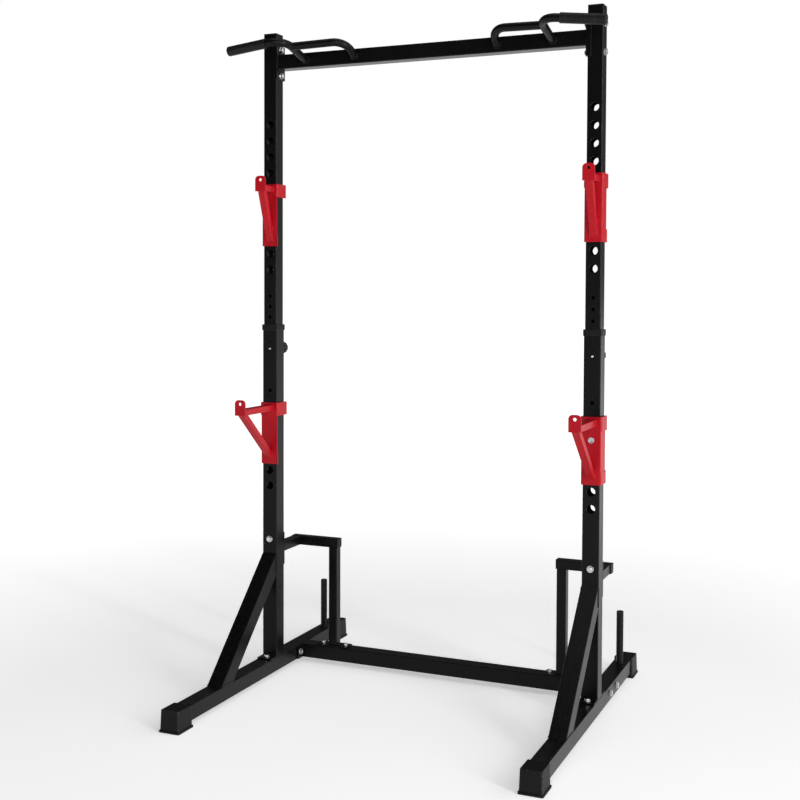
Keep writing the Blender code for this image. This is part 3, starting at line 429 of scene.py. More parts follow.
upright_x, upright_y = 0.522, 0.056
lock_height = 1.048
hook_hole = 0.0125           # radius of the big holes for the hooks' pins
for label in ("left", "right"):
    low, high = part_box(label + "_lower_upright")
    x = (low.x + high.x) / 2
    y, half = upright_y, (high.x - low.x) / 2
    plate_top = low.z + 0.004
    bm = bmesh.new()
    add_square_tube(bm, Matrix.Translation((x, y, plate_top)), high.z - plate_top, 2 * half, 2 * half)
    holes = bmesh.new()
    for count in range(7):
        height = 0.9078 - count * 0.0495
        add_rod(holes, (x, y - 0.05, height), (x, y + 0.05, height), hook_hole)
    for height in (0.365, 0.439):
        add_rod(holes, (x, y - 0.05, height), (x, y + 0.05, height), bolt_clearance)
    add_rod(holes, (x, y - 0.05, lock_height), (x, y, lock_height), 0.0065)
    add_rod(holes, (x, y, lock_height), (x, y + 0.05, lock_height), 0.0048)
    bm = cut_away(bm, holes)
    plate = bmesh.new()
    add_plate(plate, (x - half, low.y, low.z), (x + half, high.y, plate_top), 0.0009)
    plate_holes = bmesh.new()
    for bolt_y in (y - 0.044, y + 0.044):
        add_rod(plate_holes, (x, bolt_y, low.z - 0.01), (x, bolt_y, plate_top + 0.01), bolt_clearance)
    plate = cut_away(plate, plate_holes)
    join_in(bm, plate)
    rise = plate_top + 0.0008
    for way in (-1, 1):
        seam_y = y + way * (half + 0.0004)
        add_bead(bm, (x - half + 0.004, seam_y, rise), (x + half - 0.004, seam_y, rise))
    boss = [(0.0048, 0.0), (0.0100, 0.0), (0.0100, 0.0088), (0.0088, 0.0100), (0.0048, 0.0100), (0.0048, 0.0)]
    place = Matrix.Translation((x, y + half, lock_height)) @ Matrix.Rotation(-math.pi / 2, 4, "X")
    add_turned(bm, boss, place)
    ring = [(0.0100, 0.0), (0.0122, 0.0), (0.0117, 0.0010), (0.0100, 0.0022), (0.0100, 0.0)]
    add_turned(bm, ring, place)
    finish_piece(label + "_lower_post", bm, black_paint, "base", [label + "_lower_upright"], 0.0004)


# Collars. A moulded plastic cap pushed over the top of each lower upright, which takes up the
# play and guides the inner tube as it slides.
for label in ("left", "right"):
    low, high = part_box(label + "_collar")
    middle = (low + high) / 2
    bm = bmesh.new()
    add_plate(bm, low, high, 0.0012, 3)
    hollow = bmesh.new()
    add_plate(hollow, (middle.x - 0.0253, middle.y - 0.0253, low.z - 0.02),
              (middle.x + 0.0253, middle.y + 0.0253, high.z - 0.0032), 0.0030, 3)
    bm = cut_away(bm, hollow)
    throat = bmesh.new()
    add_plate(throat, (middle.x - 0.0228, middle.y - 0.0228, high.z - 0.012),
              (middle.x + 0.0228, middle.y + 0.0228, high.z + 0.02), 0.0035, 3)
    bm = cut_away(bm, throat)
    finish_piece(label + "_guide_collar", bm, black_plastic, "base", [label + "_collar"], 0.0006)


# Front braces. 50 mm tube at 45 degrees, mitred at both ends, welded on the rail and to the
# upright's face, with an ear each side that laps the upright.
for label in ("left", "right"):
    low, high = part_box(label + "_front_brace")
    rail_low, rail_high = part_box(label + "_foot_rail")
    x = (rail_low.x + rail_high.x) / 2
    face, top, ground = 0.031, 0.395, rail_high.z
    run = top - ground
    slope = Vector((0, 1, 1)).normalized()
    across = Vector((0, 1, -1)).normalized() * 0.025
    start = Vector((x, face - run, ground)) + across - slope * 0.1
    bm = bmesh.new()
    place = Matrix.Translation(start) @ Matrix.Rotation(-math.pi / 4, 4, "X")
    add_square_tube(bm, place, run * math.sqrt(2) + 0.2, 0.050, 0.050)
    mitres = bmesh.new()
    add_plate(mitres, (x - 0.1, -0.6, ground - 0.4), (x + 0.1, 0.5, ground + 0.0003), 0.00001, 1)
    bm = cut_away(bm, mitres)
    mitres = bmesh.new()
    add_plate(mitres, (x - 0.1, face - 0.0003, ground - 0.2), (x + 0.1, 0.6, 1.2), 0.00001, 1)
    bm = cut_away(bm, mitres)
    for way in (-1, 1):
        near, far = sorted((x + way * 0.0253, x + way * 0.0273))
        add_plate(bm, (near, face - 0.004, 0.331), (far, face + 0.010, 0.385), 0.0007)
        near, far = sorted((x + way * 0.0243, x + way * 0.0262))
        add_plate(bm, (near, face - 0.0038, 0.332), (far, face - 0.001, 0.384), 0.0004)
        foot_front = face - run + 0.004
        seam = x + way * 0.0252
        add_bead(bm, (seam, foot_front, ground + 0.0014), (seam, foot_front + 0.062, ground + 0.0014), 0.0018)
        add_bead(bm, (x + way * 0.0254, face - 0.0046, 0.334), (x + way * 0.0254, face - 0.0046, 0.382), 0.0011)
    add_bead(bm, (x - 0.021, face - run - 0.0004, ground + 0.0012), (x + 0.021, face - run - 0.0004, ground + 0.0012), 0.0018)
    finish_piece(label + "_brace_tube", bm, black_paint, "base", [label + "_front_brace"], 0.0004)


# Rear cross tube. 50 x 45 mm tube between the rails, with a flat end plate welded on each end and
# two bolts through each plate into the rail.
low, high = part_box("rear_cross_tube")
middle = (low + high) / 2
bm = bmesh.new()
turn = Matrix.Rotation(math.pi / 2, 4, "Y")
place = Matrix.Translation((low.x + 0.004, middle.y, middle.z)) @ turn
add_square_tube(bm, place, high.x - low.x - 0.008, 0.045, 0.050)
for way in (-1, 1):
    end = way * high.x
    near, far = sorted((end - way * 0.004, end))
    plate = bmesh.new()
    add_plate(plate, (near, low.y, low.z), (far, high.y, high.z), 0.0009)
    holes = bmesh.new()
    for offset in (-0.040, 0.040):
        add_rod(holes, (near - 0.01, middle.y + offset, middle.z), (far + 0.01, middle.y + offset, middle.z), bolt_clearance)
    plate = cut_away(plate, holes)
    join_in(bm, plate)
    seam = end - way * 0.0046
    for edge_y in (-0.0254, 0.0254):
        add_bead(bm, (seam, middle.y + edge_y, low.z + 0.005), (seam, middle.y + edge_y, high.z - 0.005), 0.0020)
finish_piece("cross_tube", bm, black_paint, "base", ["rear_cross_tube"], 0.0004)


# Rear stays. Each is three lengths of 30 mm tube with 1.5 mm walls: one from a plate on the
# upright's back, one across, with a plastic plug in each end, and a post on the cross tube.
for label, side in (("left", -1), ("right", 1)):
    low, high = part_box(label + "_stay_bracket")
    x, z = (low.x + high.x) / 2, 0.402
    bm = bmesh.new()
    turn = Matrix.Rotation(-math.pi / 2, 4, "X")
    add_square_tube(bm, Matrix.Translation((x, low.y + 0.004, z)) @ turn, high.y - low.y - 0.004, 0.030, 0.030,
                    0.0015, 0.003)
    plate = bmesh.new()
    add_plate(plate, (low.x, low.y, low.z), (high.x, low.y + 0.004, high.z), 0.0009)
    holes = bmesh.new()
    for height in (0.365, 0.439):
        add_rod(holes, (x, low.y - 0.01, height), (x, low.y + 0.02, height), bolt_clearance)
    plate = cut_away(plate, holes)
    join_in(bm, plate)
    for way in (-1, 1):
        add_bead(bm, (x + way * 0.0154, low.y + 0.0046, z - 0.011), (x + way * 0.0154, low.y + 0.0046, z + 0.011), 0.0018)
        add_bead(bm, (x - 0.011, low.y + 0.0046, z + way * 0.0154), (x + 0.011, low.y + 0.0046, z + way * 0.0154), 0.0018)
    finish_piece(label + "_stay_arm", bm, black_paint, "base", [label + "_stay_bracket"], 0.0003)

    low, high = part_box(label + "_stay_top_tube")
    row = (low + high) / 2
    bm = bmesh.new()
    turn = Matrix.Rotation(math.pi / 2, 4, "Y")
    add_square_tube(bm, Matrix.Translation((low.x, row.y, row.z)) @ turn, high.x - low.x, 0.030, 0.030, 0.0015, 0.003)
    for way in (-1, 1):
        add_bead(bm, (x - 0.011, low.y - 0.0001, z + way * 0.0149), (x + 0.011, low.y - 0.0001, z + way * 0.0149), 0.0015)
    finish_piece(label + "_stay_crosspiece", bm, black_paint, "base", [label + "_stay_top_tube"], 0.0003)

    for end_name in ("outer", "inner"):
        node = label + "_stay_" + end_name + "_cap"
        low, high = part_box(node)
        bm = bmesh.new()
        add_plate(bm, low, high, 0.0013, 3)
        finish_piece(label + "_" + end_name + "_plug", bm, black_plastic, "base", [node])

    low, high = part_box(label + "_stay_post")
    post_x = (low.x + high.x) / 2
    bm = bmesh.new()
    place = Matrix.Translation((post_x, row.y, low.z + 0.004))
    add_square_tube(bm, place, high.z - low.z - 0.004, 0.030, 0.030, 0.0015, 0.003)
    plate = bmesh.new()
    add_plate(plate, low, (high.x, high.y, low.z + 0.004), 0.0009)
    holes = bmesh.new()
    for offset in (-0.040, 0.040):
        add_rod(holes, (post_x + offset, row.y, low.z - 0.01), (post_x + offset, row.y, low.z + 0.02), 0.0046)
    plate = cut_away(plate, holes)
    join_in(bm, plate)
    for way in (-1, 1):
        foot = low.z + 0.0046
        add_bead(bm, (post_x + way * 0.0154, row.y - 0.011, foot), (post_x + way * 0.0154, row.y + 0.011, foot), 0.0018)
        add_bead(bm, (post_x - 0.011, row.y + way * 0.0154, foot), (post_x + 0.011, row.y + way * 0.0154, foot), 0.0018)
        add_bead(bm, (post_x - 0.011, row.y + way * 0.0149, high.z - 0.0002),
                 (post_x + 0.011, row.y + way * 0.0149, high.z - 0.0002), 0.0014)
    finish_piece(label + "_stay_leg", bm, black_paint, "base", [label + "_stay_post"], 0.0003)


# Plate pegs. A 22 mm tube welded upright on the rear of each rail, closed by a plastic plug,
# where spare weight plates are hung.
for label in ("left", "right"):
    low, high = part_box(label + "_weight_peg")
    middle = (low + high) / 2
    place = Matrix.Translation((middle.x, middle.y, 0))
    bm = bmesh.new()
    outline = [(0.009, low.z), (0.011, low.z), (0.011, high.z - 0.0006), (0.0104, high.z), (0.009, high.z), (0.009, low.z)]
    add_turned(bm, outline, place)
    weld = [(0.0110, low.z), (0.0134, low.z), (0.0130, low.z + 0.0011), (0.0118, low.z + 0.0024), (0.0110, low.z + 0.0028),
            (0.0110, low.z)]
    add_turned(bm, weld, place)
    finish_piece(label + "_peg_tube", bm, black_paint, "base", [label + "_weight_peg"])
    low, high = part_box(label + "_peg_cap")
    bm = bmesh.new()
    seat = high.z - 0.003
    outline = [(0, high.z), (0.0086, high.z), (0.0101, high.z - 0.0004), (0.0109, high.z - 0.0013), (0.0110, high.z - 0.002),
               (0.0110, seat), (0.0087, seat), (0.0087, low.z + 0.001), (0.0080, low.z), (0, low.z)]
    add_turned(bm, outline, place)
    finish_piece(label + "_peg_plug", bm, black_plastic, "base", [label + "_peg_cap"])


# Height locks. A spring pull pin through the boss behind each upright holds the inner tube. Its
# pin is zinc plated steel and its knob is fluted plastic, moulded on.
def zinc_plate(name, roughness):
    """Bright zinc plate, with the faint streaks and dull spots of barrel plating."""
    material, shader, start, place = new_finish(name, roughness, metallic=1.0)
    cloud = place.noise(120.0, 4.0)
    fleck = place.node("ShaderNodeTexVoronoi", {}, {"Vector": place, "Scale": 900.0})
    scratch = place.node("ShaderNodeTexNoise", {}, {"Vector": place.node(
        "ShaderNodeVectorMath", {"operation": "MULTIPLY"}, {0: place, 1: (1.0, 1.0, 9.0)}), "Scale": 600.0, "Detail": 3.0})
    dull = cloud.between(0.40, 0.70)
    shade = dull.blend((0.63, 0.64, 0.66, 1.0), (0.47, 0.48, 0.50, 1.0))
    shade = (fleck * 0.25).blend(shade, (0.72, 0.72, 0.70, 1.0))
    connect(shader, "Base Color", shade)
    connect(shader, "Roughness", roughness + 0.16 * dull + 0.06 * scratch)
    connect_relief(shader, scratch * 0.6 + fleck * 0.4, 0.00006, 0.5)
    return material


bright_zinc = zinc_plate("bright_zinc", 0.22)

for label in ("left", "right"):
    body = label + "_height_lock"
    low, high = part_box(label + "_lock_pin")
    middle = (low + high) / 2
    away = Matrix.Translation((middle.x, low.y, lock_height)) @ Matrix.Rotation(-math.pi / 2, 4, "X")
    bm = bmesh.new()
    length = high.y - low.y
    outline = [(0, length), (0.004, length), (0.004, 0.0012), (0.0036, 0.0005), (0.0028, 0.0001), (0, 0)]
    add_turned(bm, outline, away, 24)
    finish_piece(label + "_pull_pin", bm, bright_zinc, body, [label + "_lock_pin"])
    low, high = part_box(label + "_lock_knob")
    length = high.y - low.y
    start = Matrix.Translation((middle.x, low.y, lock_height)) @ Matrix.Rotation(-math.pi / 2, 4, "X")
    bm = bmesh.new()
    outline = [(0, 0), (0.0115, 0), (0.0120, 0.0006), (0.0120, 0.0060), (0.0150, 0.0082), (0.0180, 0.0096), (0.0194, 0.0112),
               (0.0198, 0.0135), (0.0198, length - 0.0040), (0.0190, length - 0.0018), (0.0172, length - 0.0006),
               (0.0130, length), (0.0120, length - 0.0008), (0, length - 0.0008)]
    add_turned(bm, outline, Matrix.Identity(4), 72)
    for vert in bm.verts:
        reach = math.hypot(vert.co.x, vert.co.y)
        if reach > 0.0178:
            flute = 1 - 0.045 * max(0.0, math.cos(12 * math.atan2(vert.co.y, vert.co.x))) ** 2
            vert.co.x *= flute
            vert.co.y *= flute
    bmesh.ops.transform(bm, matrix=start, verts=bm.verts)
    finish_piece(label + "_fluted_knob", bm, black_plastic, body, [label + "_lock_knob"])


# Upper uprights. 45 mm square tube that slides in the lower one, with ten 25 mm holes for the bar
# hooks, five small ones for the lock and a slot below them, and a plastic plug at the top.
for label in ("left", "right"):
    low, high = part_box(label + "_upper_upright")
    x, y = (low.x + high.x) / 2, (low.y + high.y) / 2
    bm = bmesh.new()
    add_square_tube(bm, Matrix.Translation((x, y, low.z)), high.z - low.z, 0.045, 0.045)
    holes = bmesh.new()
    for count in range(10):
        height = 1.7545 - count * 0.0508
        add_rod(holes, (x, y - 0.05, height), (x, y + 0.05, height), hook_hole)
    for count in range(1, 6):
        height = lock_height + count * 0.0333
        add_rod(holes, (x, y - 0.05, height), (x, y + 0.05, height), 0.0052)
    for height in (1.910, 1.990):
        add_rod(holes, (x - 0.05, y, height), (x + 0.05, y, height), bolt_clearance)
    add_plate(holes, (x - 0.0052, y - 0.05, lock_height - 0.1384), (x + 0.0052, y + 0.05, lock_height + 0.0052), 0.0004, 1)
    bm = cut_away(bm, holes)
    finish_piece(label + "_upper_post", bm, black_paint, "upper_frame", [label + "_upper_upright"], 0.0004)
    low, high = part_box(label + "_upright_cap")
    bm = bmesh.new()
    add_plate(bm, (low.x, low.y, high.z - 0.003), high, 0.0014, 3)
    add_plate(bm, (low.x + 0.0035, low.y + 0.0035, low.z), (high.x - 0.0035, high.y - 0.0035, high.z - 0.002), 0.0010, 2)
    finish_piece(label + "_top_plug", bm, black_plastic, "upper_frame", [label + "_upright_cap"])


# Crossbar. 45 mm square tube welded at each end to a folded 4 mm channel, which is taller than the
# tube, clasps the upright front and back, and takes a bolt above the tube and one below.
low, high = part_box("crossbar")
bar_y, bar_z = upright_y, (low.z + high.z) / 2
bm = bmesh.new()
place = Matrix.Translation((-0.4952, bar_y, bar_z)) @ Matrix.Rotation(math.pi / 2, 4, "Y")
add_square_tube(bm, place, 0.9904, 0.045, 0.045)
for way in (-1, 1):
    end = way * 0.4992
    near, far = sorted((end - way * 0.004, end))
    plate = bmesh.new()
    outer = sorted((end - way * 0.004, end + way * 0.012))
    add_plate(plate, (outer[0], low.y, low.z), (outer[1], high.y, high.z), 0.0012, 3)
    inside = bmesh.new()
    hollow = sorted((end, end + way * 0.03))
    add_plate(inside, (hollow[0], low.y + 0.004, low.z - 0.02), (hollow[1], high.y - 0.004, high.z + 0.02), 0.00001, 1)
    plate = cut_away(plate, inside)
    holes = bmesh.new()
    for offset in (-0.040, 0.040):
        add_rod(holes, (near - 0.01, bar_y, bar_z + offset), (far + 0.01, bar_y, bar_z + offset), bolt_clearance)
    plate = cut_away(plate, holes)
    join_in(bm, plate)
    seam = end - way * 0.0046
    for edge in (-0.0229, 0.0229):
        add_bead(bm, (seam, bar_y + edge, bar_z - 0.018), (seam, bar_y + edge, bar_z + 0.018), 0.0020)
        add_bead(bm, (seam, bar_y - 0.018, bar_z + edge), (seam, bar_y + 0.018, bar_z + edge), 0.0020)
finish_piece("top_crossbar", bm, black_paint, "upper_frame", ["crossbar"], 0.0004)


# Pull-up handles. 24 mm tube bent to a wide outer grip, with a loop of the same tube joined to it
# for the inner grip, all welded on the crossbar's face. The outer grips have rubber sleeves.
def rubber(name):
    """Matt moulded rubber with a fine pebble and shiny rubbed places."""
    material, shader, start, place = new_finish(name, 0.45, specular=0.18)
    pebble = place.node("ShaderNodeTexVoronoi", {"feature": "SMOOTH_F1"}, {"Vector": place, "Scale": 620.0})
    rubbed = place.noise(38.0, 4.0).between(0.45, 0.7)
    shade = rubbed.blend((0.0042, 0.0042, 0.0045, 1.0), (0.0075, 0.0075, 0.0078, 1.0))
    connect(shader, "Base Color", shade)
    connect(shader, "Roughness", 0.46 - 0.10 * rubbed + 0.06 * pebble)
    connect_relief(shader, pebble, 0.00035, 0.7)
    return material


grip_rubber = rubber("grip_rubber")


def rounded_path(corners, radii, steps=14):
    """The middle line of a bent tube, with each corner turned into an arc of its own radius."""
    points = [Vector(corners[0])]
    for before, corner, after, radius in zip(corners, corners[1:], corners[2:], radii):
        corner = Vector(corner)
        back = (Vector(before) - corner).normalized()
        ahead = (Vector(after) - corner).normalized()
        half_angle = back.angle(ahead) / 2
        centre = corner + (back + ahead).normalized() * (radius / math.sin(half_angle))
        tangent = radius / math.tan(half_angle)
        first = corner + back * tangent - centre
        last = corner + ahead * tangent - centre
        sweep = first.angle(last)
        for step in range(steps + 1):
            share = step / steps
            arm = first * math.sin((1 - share) * sweep) + last * math.sin(share * sweep)
            points.append(centre + arm / math.sin(sweep))
    points.append(Vector(corners[-1]))
    return points


def add_bent_tube(bm, points, radius):
    """Sweep a round tube along a middle line, closed at both ends."""
    curve = bpy.data.curves.new("bend", "CURVE")
    curve.dimensions = "3D"
    curve.bevel_depth = radius
    curve.bevel_resolution = 8
    curve.use_fill_caps = True
    spline = curve.splines.new("POLY")
    spline.points.add(len(points) - 1)
    for point, position in zip(spline.points, points):
        point.co = (*position, 1.0)
    bent = bpy.data.objects.new("bend", curve)
    bpy.context.scene.collection.objects.link(bent)
    graph = bpy.context.evaluated_depsgraph_get()
    mesh = bpy.data.meshes.new_from_object(bent.evaluated_get(graph))
    bpy.data.objects.remove(bent)
    bpy.data.curves.remove(curve)
    swept = bmesh.new()
    swept.from_mesh(mesh)
    bpy.data.meshes.remove(mesh)
    bmesh.ops.remove_doubles(swept, verts=swept.verts, dist=1e-5)
    join_in(bm, swept)


for label, side in (("left", -1), ("right", 1)):
    upright = side * upright_x
    face = upright_y - 0.0225 - 0.0003
    low_z, high_z = bar_z, bar_z + 0.036
    outer, inner = upright - side * 0.125, upright - side * 0.292
    tip = Vector((upright + side * 0.064, face - 0.140, high_z - 0.022))
    bend = Vector((outer, face - 0.140, high_z))
    foot = Vector((outer, face, low_z))
    bm = bmesh.new()
    add_bent_tube(bm, rounded_path([foot, bend, tip], [0.050]), 0.012)
    join = foot.lerp(bend, 0.66)
    corner = Vector((inner, face - 0.052, low_z + 0.036))
    inner_foot = Vector((inner, face, low_z))
    add_bent_tube(bm, rounded_path([inner_foot, corner, join], [0.054]), 0.012)
    for place in (foot, inner_foot):
        weld = [(0.0115, 0.0), (0.0134, 0.0), (0.0131, 0.0007), (0.0124, 0.0014), (0.0115, 0.0016), (0.0115, 0.0)]
        add_turned(bm, weld, Matrix.Translation(place) @ Matrix.Rotation(math.pi / 2, 4, "X"))
    finish_piece(label + "_handle_tube", bm, black_paint, "upper_frame", [label + "_pull_up_handle"])

    way = (tip - bend).normalized()
    place = Matrix.Translation(tip) @ way.to_track_quat("Z", "Y").to_matrix().to_4x4()
    bm = bmesh.new()
    outline = [(0, 0.003), (0.0105, 0.003), (0.0132, 0.0024), (0.0146, 0.0010), (0.0149, -0.001)]
    for count in range(19):
        groove = -0.006 - count * 0.006
        outline += [(0.0149, groove), (0.0145, groove - 0.0006), (0.0145, groove - 0.0012), (0.0149, groove - 0.0018)]
    outline += [(0.0150, -0.1235), (0.0150, -0.1272), (0.0144, -0.1280), (0.0123, -0.1280), (0.0123, 0.0003), (0, 0.0003)]
    add_turned(bm, outline, place, 40)
    finish_piece(label + "_grip_sleeve", bm, grip_rubber, "upper_frame", [label + "_hand_grip"])


# Bar hooks and safety arms. Folded 3 mm plate that straddles the upright, with a band round its
# top, a flat arm, an upright nose plate and a strut, all welded and powder coated red. Only the
# right safety arm's front plate is open over its pin.
# Its lighter, pinker edge colour is partly wear and partly a painted highlight on the folds and edges.
red_paint = powder_coat("red_paint", (0.36, 0.0035, 0.0100, 1.0), (0.52, 0.040, 0.050, 1.0), 0.34, 0.16)


def add_folded(bm, low, high, thickness, radius, open_sides):
    """Plate folded round a block: the block's faces on the open sides are left off."""
    skin = bmesh.new()
    low, high = Vector(low), Vector(high)
    block = Matrix.Translation((low + high) / 2) @ Matrix.Diagonal((*(high - low), 1.0))
    bmesh.ops.create_cube(skin, size=1.0, matrix=block)
    gone = [f for f in skin.faces if any(f.normal.dot(Vector(side)) > 0.9 for side in open_sides)]
    bmesh.ops.delete(skin, geom=gone, context="FACES")
    folds = [e for e in skin.edges if len(e.link_faces) == 2]
    bmesh.ops.bevel(skin, geom=folds, offset=radius, segments=5, profile=0.5, affect="EDGES", material=-1)
    bmesh.ops.recalc_face_normals(skin, faces=skin.faces)
    middle = (low + high) / 2
    probe = max(skin.faces, key=lambda face: face.calc_area())
    if probe.normal.dot(probe.calc_center_median() - middle) < 0:
        bmesh.ops.reverse_faces(skin, faces=skin.faces[:])
    bmesh.ops.solidify(skin, geom=skin.faces[:], thickness=thickness)
    join_in(bm, skin)


def make_hook(node, body, side, tube, pin_height, reach, strut_foot, open_eye):
    inner = tube / 2 + 0.0005
    skin = inner + 0.003
    front = -0.0035
    nose_back = -reach + 0.005
    bm = bmesh.new()

    # front plate, folded back along the upright's outer side
    near, far = sorted((-side * (inner + 0.003), side * skin))
    outline_low = (near if side > 0 else -skin, front, -0.128)
    outline_high = (skin if side > 0 else far, tube * 0.95, 0.067)
    add_folded(bm, outline_low, outline_high, 0.003, 0.0026,
               [(0, 1, 0), (0, 0, 1), (0, 0, -1), (-side, 0, 0)])
    if open_eye:
        holes = bmesh.new()
        add_rod(holes, (0, front - 0.02, 0), (0, 0.02, 0), 0.0096)
        bm = cut_away(bm, holes)

    # band round the top, and the tab at the bottom of the outer side
    reach_back = tube + 0.006
    add_folded(bm, (-skin - 0.003, front - 0.001, 0.026), (skin + 0.003, reach_back, 0.0672), 0.006, 0.0055,
               [(0, 1, 0), (0, 0, 1), (0, 0, -1)])
    near, far = sorted((side * inner, side * (inner + 0.004)))
    add_plate(bm, (near, 0.0, -0.128), (far, reach_back, -0.090), 0.0010)
    near, far = sorted((-side * inner, -side * (inner + 0.003)))
    add_plate(bm, (near, front, -0.128), (far, 0.005, -0.090), 0.0010)

    # arm, nose and strut
    add_plate(bm, (-0.015, nose_back - 0.001, 0.041), (0.015, front + 0.001, 0.060), 0.0016, 3)
    nose = bmesh.new()
    section = Matrix.Translation((0, (nose_back - reach) / 2, 0.065))
    section = section @ Matrix.Diagonal((0.036, nose_back + reach, 0.048, 1.0))
    bmesh.ops.create_cube(nose, size=1.0, matrix=section)
    corners = [e for e in nose.edges if min(v.co.z for v in e.verts) > 0.08 and abs(e.verts[0].co.y - e.verts[1].co.y) > 1e-4]
    bmesh.ops.bevel(nose, geom=corners, offset=0.012, segments=10, profile=0.5, affect="EDGES", material=-1)
    hole = bmesh.new()
    add_rod(hole, (0, -reach - 0.01, 0.0765), (0, nose_back + 0.01, 0.0765), 0.005)
    nose = cut_away(nose, hole)
    rims = [e for e in nose.edges if e.calc_face_angle(0.0) > math.radians(50)]
    bmesh.ops.bevel(nose, geom=rims, offset=0.0008, segments=2, profile=0.5, affect="EDGES", material=-1)
    join_in(bm, nose)

    thickness = 0.018
    run, drop = front + 0.001 - nose_back, 0.042 - strut_foot
    lean = thickness
    for _ in range(8):
        lean = thickness * math.hypot(run - lean, drop) / drop
    slope = drop / (run - lean)
    outline = [(nose_back, 0.042), (nose_back + lean, 0.042), (front + 0.001, strut_foot), (front + 0.001, 0.042 - slope * run)]
    strut = bmesh.new()
    cheek = strut.faces.new([strut.verts.new((-0.011, y, z)) for y, z in outline])
    swept = bmesh.ops.extrude_face_region(strut, geom=[cheek])["geom"]
    bmesh.ops.translate(strut, verts=[v for v in swept if isinstance(v, bmesh.types.BMVert)], vec=(0.022, 0, 0))
    bmesh.ops.recalc_face_normals(strut, faces=strut.faces)
    bmesh.ops.bevel(
        strut, geom=strut.edges[:], offset=0.0014, segments=3, profile=0.5, affect="EDGES", material=-1)
    join_in(bm, strut)

    # welds between them
    for way in (-1, 1):
        add_bead(bm, (way * 0.0152, front - 0.0016, 0.0425), (way * 0.0152, front - 0.0016, 0.0585), 0.0015)
        add_bead(bm, (way * 0.0150, nose_back + 0.0004, 0.0425), (way * 0.0150, nose_back + 0.0004, 0.0585), 0.0013)
        add_bead(bm, (way * 0.0112, front - 0.0006, strut_foot), (way * 0.0112, front - 0.0006, 0.042 - slope * run + 0.002), 0.0015)
    add_bead(bm, (-0.0095, front - 0.0006, strut_foot + 0.0008), (0.0095, front - 0.0006, strut_foot + 0.0008), 0.0015)

    place = Matrix.Translation((side * upright_x, upright_y - tube / 2, pin_height))
    bmesh.ops.transform(bm, matrix=place, verts=bm.verts)
    finish_piece(node + "_plate", bm, red_paint, body, [node], 0.0005)

    start = front if open_eye else front + 0.0031
    length = tube + 0.004 - start
    bm = bmesh.new()
    outline = [(0, length), (0.0085, length), (0.0098, length - 0.0005), (0.0108, length - 0.002), (0.011, length - 0.003),
               (0.011, 0.0040), (0.0106, 0.0034), (0.0093, 0.0030), (0.0093, 0.0010), (0.0088, 0.0003), (0.0078, 0.0),
               (0.0062, 0.0003), (0.0056, 0.0010), (0.0054, 0.0045), (0, 0.0045)]
    add_turned(bm, outline, place @ Matrix.Translation((0, start, 0)) @ Matrix.Rotation(-math.pi / 2, 4, "X"))
    finish_piece(node + "_stud", bm, bright_zinc, body, [node + "_pin"])


for label, side in (("left", -1), ("right", 1)):
    make_hook(label + "_bar_hook", label + "_bar_hook", side, 0.045, 1.5005, 0.0635, -0.062, False)
    make_hook(label + "_safety_arm", label + "_safety_arm", side, 0.050, 0.8088, 0.185, -0.088, side > 0)


# Bolts. M10 zinc plated hexagon bolts, each with a pressed washer under the head and another
# under its lock nut. They hold the crossbar, the cross tube, the base plates and the stays.
def add_hexagon(bm, place, base, height, across):
    """A hexagon head or nut with its outer corners chamfered."""
    block = bmesh.new()
    bmesh.ops.create_cone(
        block, cap_ends=True, segments=6, radius1=across / 2, radius2=across / 2, depth=abs(height),
        matrix=Matrix.Translation((0, 0, base + height / 2)))
    rim = [e for e in block.edges if all(abs(v.co.z - base - height) < 1e-6 for v in e.verts)]
    bmesh.ops.bevel(block, geom=rim, offset=0.0012, segments=2, profile=0.5, affect="EDGES", material=-1)
    bmesh.ops.transform(block, matrix=place, verts=block.verts)
    join_in(bm, block)


def make_bolt(name, start, direction, grip, body, stands_for=(), across=0.0184, nut=True):
    """A bolt whose head bears at its start and whose nut closes past its grip."""
    place = Matrix.Translation(start) @ Vector(direction).to_track_quat("Z", "Y").to_matrix().to_4x4()
    bm = bmesh.new()
    near, far = -0.0003, grip + 0.0003
    shank = across * 0.27
    washer = across * 0.56
    for level, way in ((near, -1), (far, 1)) if nut else ((near, -1),):
        ring = [(shank + 0.0003, level), (washer, level), (washer, level + way * 0.0010), (washer - 0.0004, level + way * 0.0014),
                (shank + 0.0003, level + way * 0.0014), (shank + 0.0003, level)]
        add_turned(bm, ring, place, 28)
    add_hexagon(bm, place, near - 0.0015, -0.0052, across)
    dome = near - 0.0067
    crown = [(0, dome - 0.0004), (across * 0.30, dome - 0.0004), (across * 0.34, dome + 0.0002), (0, dome + 0.0002)]
    add_turned(bm, crown, place, 28)
    thread = [(0, near - 0.002), (shank, near - 0.002)]
    end = far + 0.0092 if nut else grip
    if nut:
        add_hexagon(bm, place, far + 0.0015, 0.0060, across)
        level = far + 0.006
        while level < end - 0.0012:
            thread += [(shank, level), (shank - 0.0005, level + 0.0004), (shank, level + 0.0008)]
            level += 0.0010
    thread += [(shank, end - 0.0008), (shank - 0.0008, end), (0, end)]
    add_turned(bm, thread, place, 20)
    finish_piece(name, bm, bright_zinc, body, stands_for)


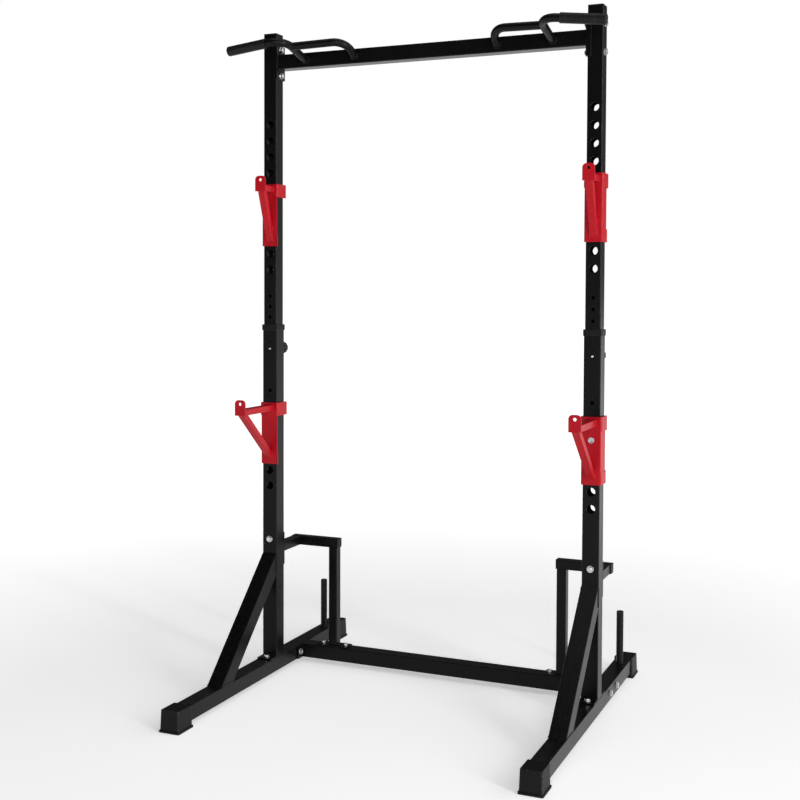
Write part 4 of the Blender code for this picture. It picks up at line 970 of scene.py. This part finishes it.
for label, side in (("left", -1), ("right", 1)):
    upright = side * upright_x
    for end_name, offset in (("lower", -0.040), ("upper", 0.040)):
        make_bolt(label + "_crossbar_screw_" + end_name, (side * 0.5445, upright_y, bar_z + offset), (-side, 0, 0),
                  0.045 + 0.0043, "upper_frame", [label + "_crossbar_bolt_" + end_name])
    for end_name, offset in (("front", -0.040), ("rear", 0.040)):
        make_bolt(label + "_cross_tube_screw_" + end_name, (side * 0.547, 0.227 + offset, 0.0375), (-side, 0, 0),
                  0.050 + 0.0043, "base", [label + "_cross_tube_bolt_" + end_name])
    make_bolt(label + "_upright_screw", (upright, 0.031, 0.439), (0, 1, 0), 0.0543, "base", [label + "_upright_bolt"])
    for end_name, offset in (("front", -0.044), ("rear", 0.044)):
        make_bolt(label + "_base_plate_screw_" + end_name, (upright, upright_y + offset, 0.0643), (0, 0, -1),
                  0.010, "base", nut=False)
    for end_name, offset in (("outer", -0.040), ("inner", 0.040)):
        make_bolt(label + "_stay_foot_screw_" + end_name, (side * 0.387 + side * offset, 0.227, 0.0643), (0, 0, -1),
                  0.010, "base", across=0.0150, nut=False)


# Floor and sky finishes. The floor is matt white board, very slightly mottled, that glows a
# little, and more so far off, where it meets the white sky.
material, shader, start, place = new_finish("floor_board", 0.85, specular=0.2)
mottle = place.noise(3.0, 3.0)
connect(shader, "Base Color", mottle.blend((0.86, 0.86, 0.86, 1.0), (0.90, 0.90, 0.90, 1.0)))
far_off = place.node("ShaderNodeVectorMath", {"operation": "LENGTH"}, {0: place}, "Value").between(1.2, 4.5)
connect(shader, "Emission Color", far_off.blend((0.42, 0.42, 0.42, 1.0), (0.92, 0.92, 0.92, 1.0)))
shader.inputs["Emission Strength"].default_value = 1.0
floor.data.materials.append(material)

world = bpy.data.worlds.new("white_sky")
bpy.context.scene.world = world
world.use_nodes = True
sky = Signal(world.node_tree)
ahead = sky.node("ShaderNodeSeparateXYZ", {}, {0: sky.node("ShaderNodeTexCoord", {}, {}, "Generated")}, "Y")
right = sky.node("ShaderNodeSeparateXYZ", {}, {0: sky.node("ShaderNodeTexCoord", {}, {}, "Generated")}, "X")
bright = right.between(0.36, 0.62) * 1.15 + ahead.between(-0.5, 0.4) * 0.05 + 0.03
seen = sky.node("ShaderNodeLightPath", {}, {}, "Is Camera Ray")
background = world.node_tree.nodes["Background"]
world.node_tree.links.new((bright * (1 - seen) + seen * 1.0).socket, background.inputs["Strength"])
background.inputs["Color"].default_value = (1.0, 1.0, 1.0, 1.0)

low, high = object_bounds()
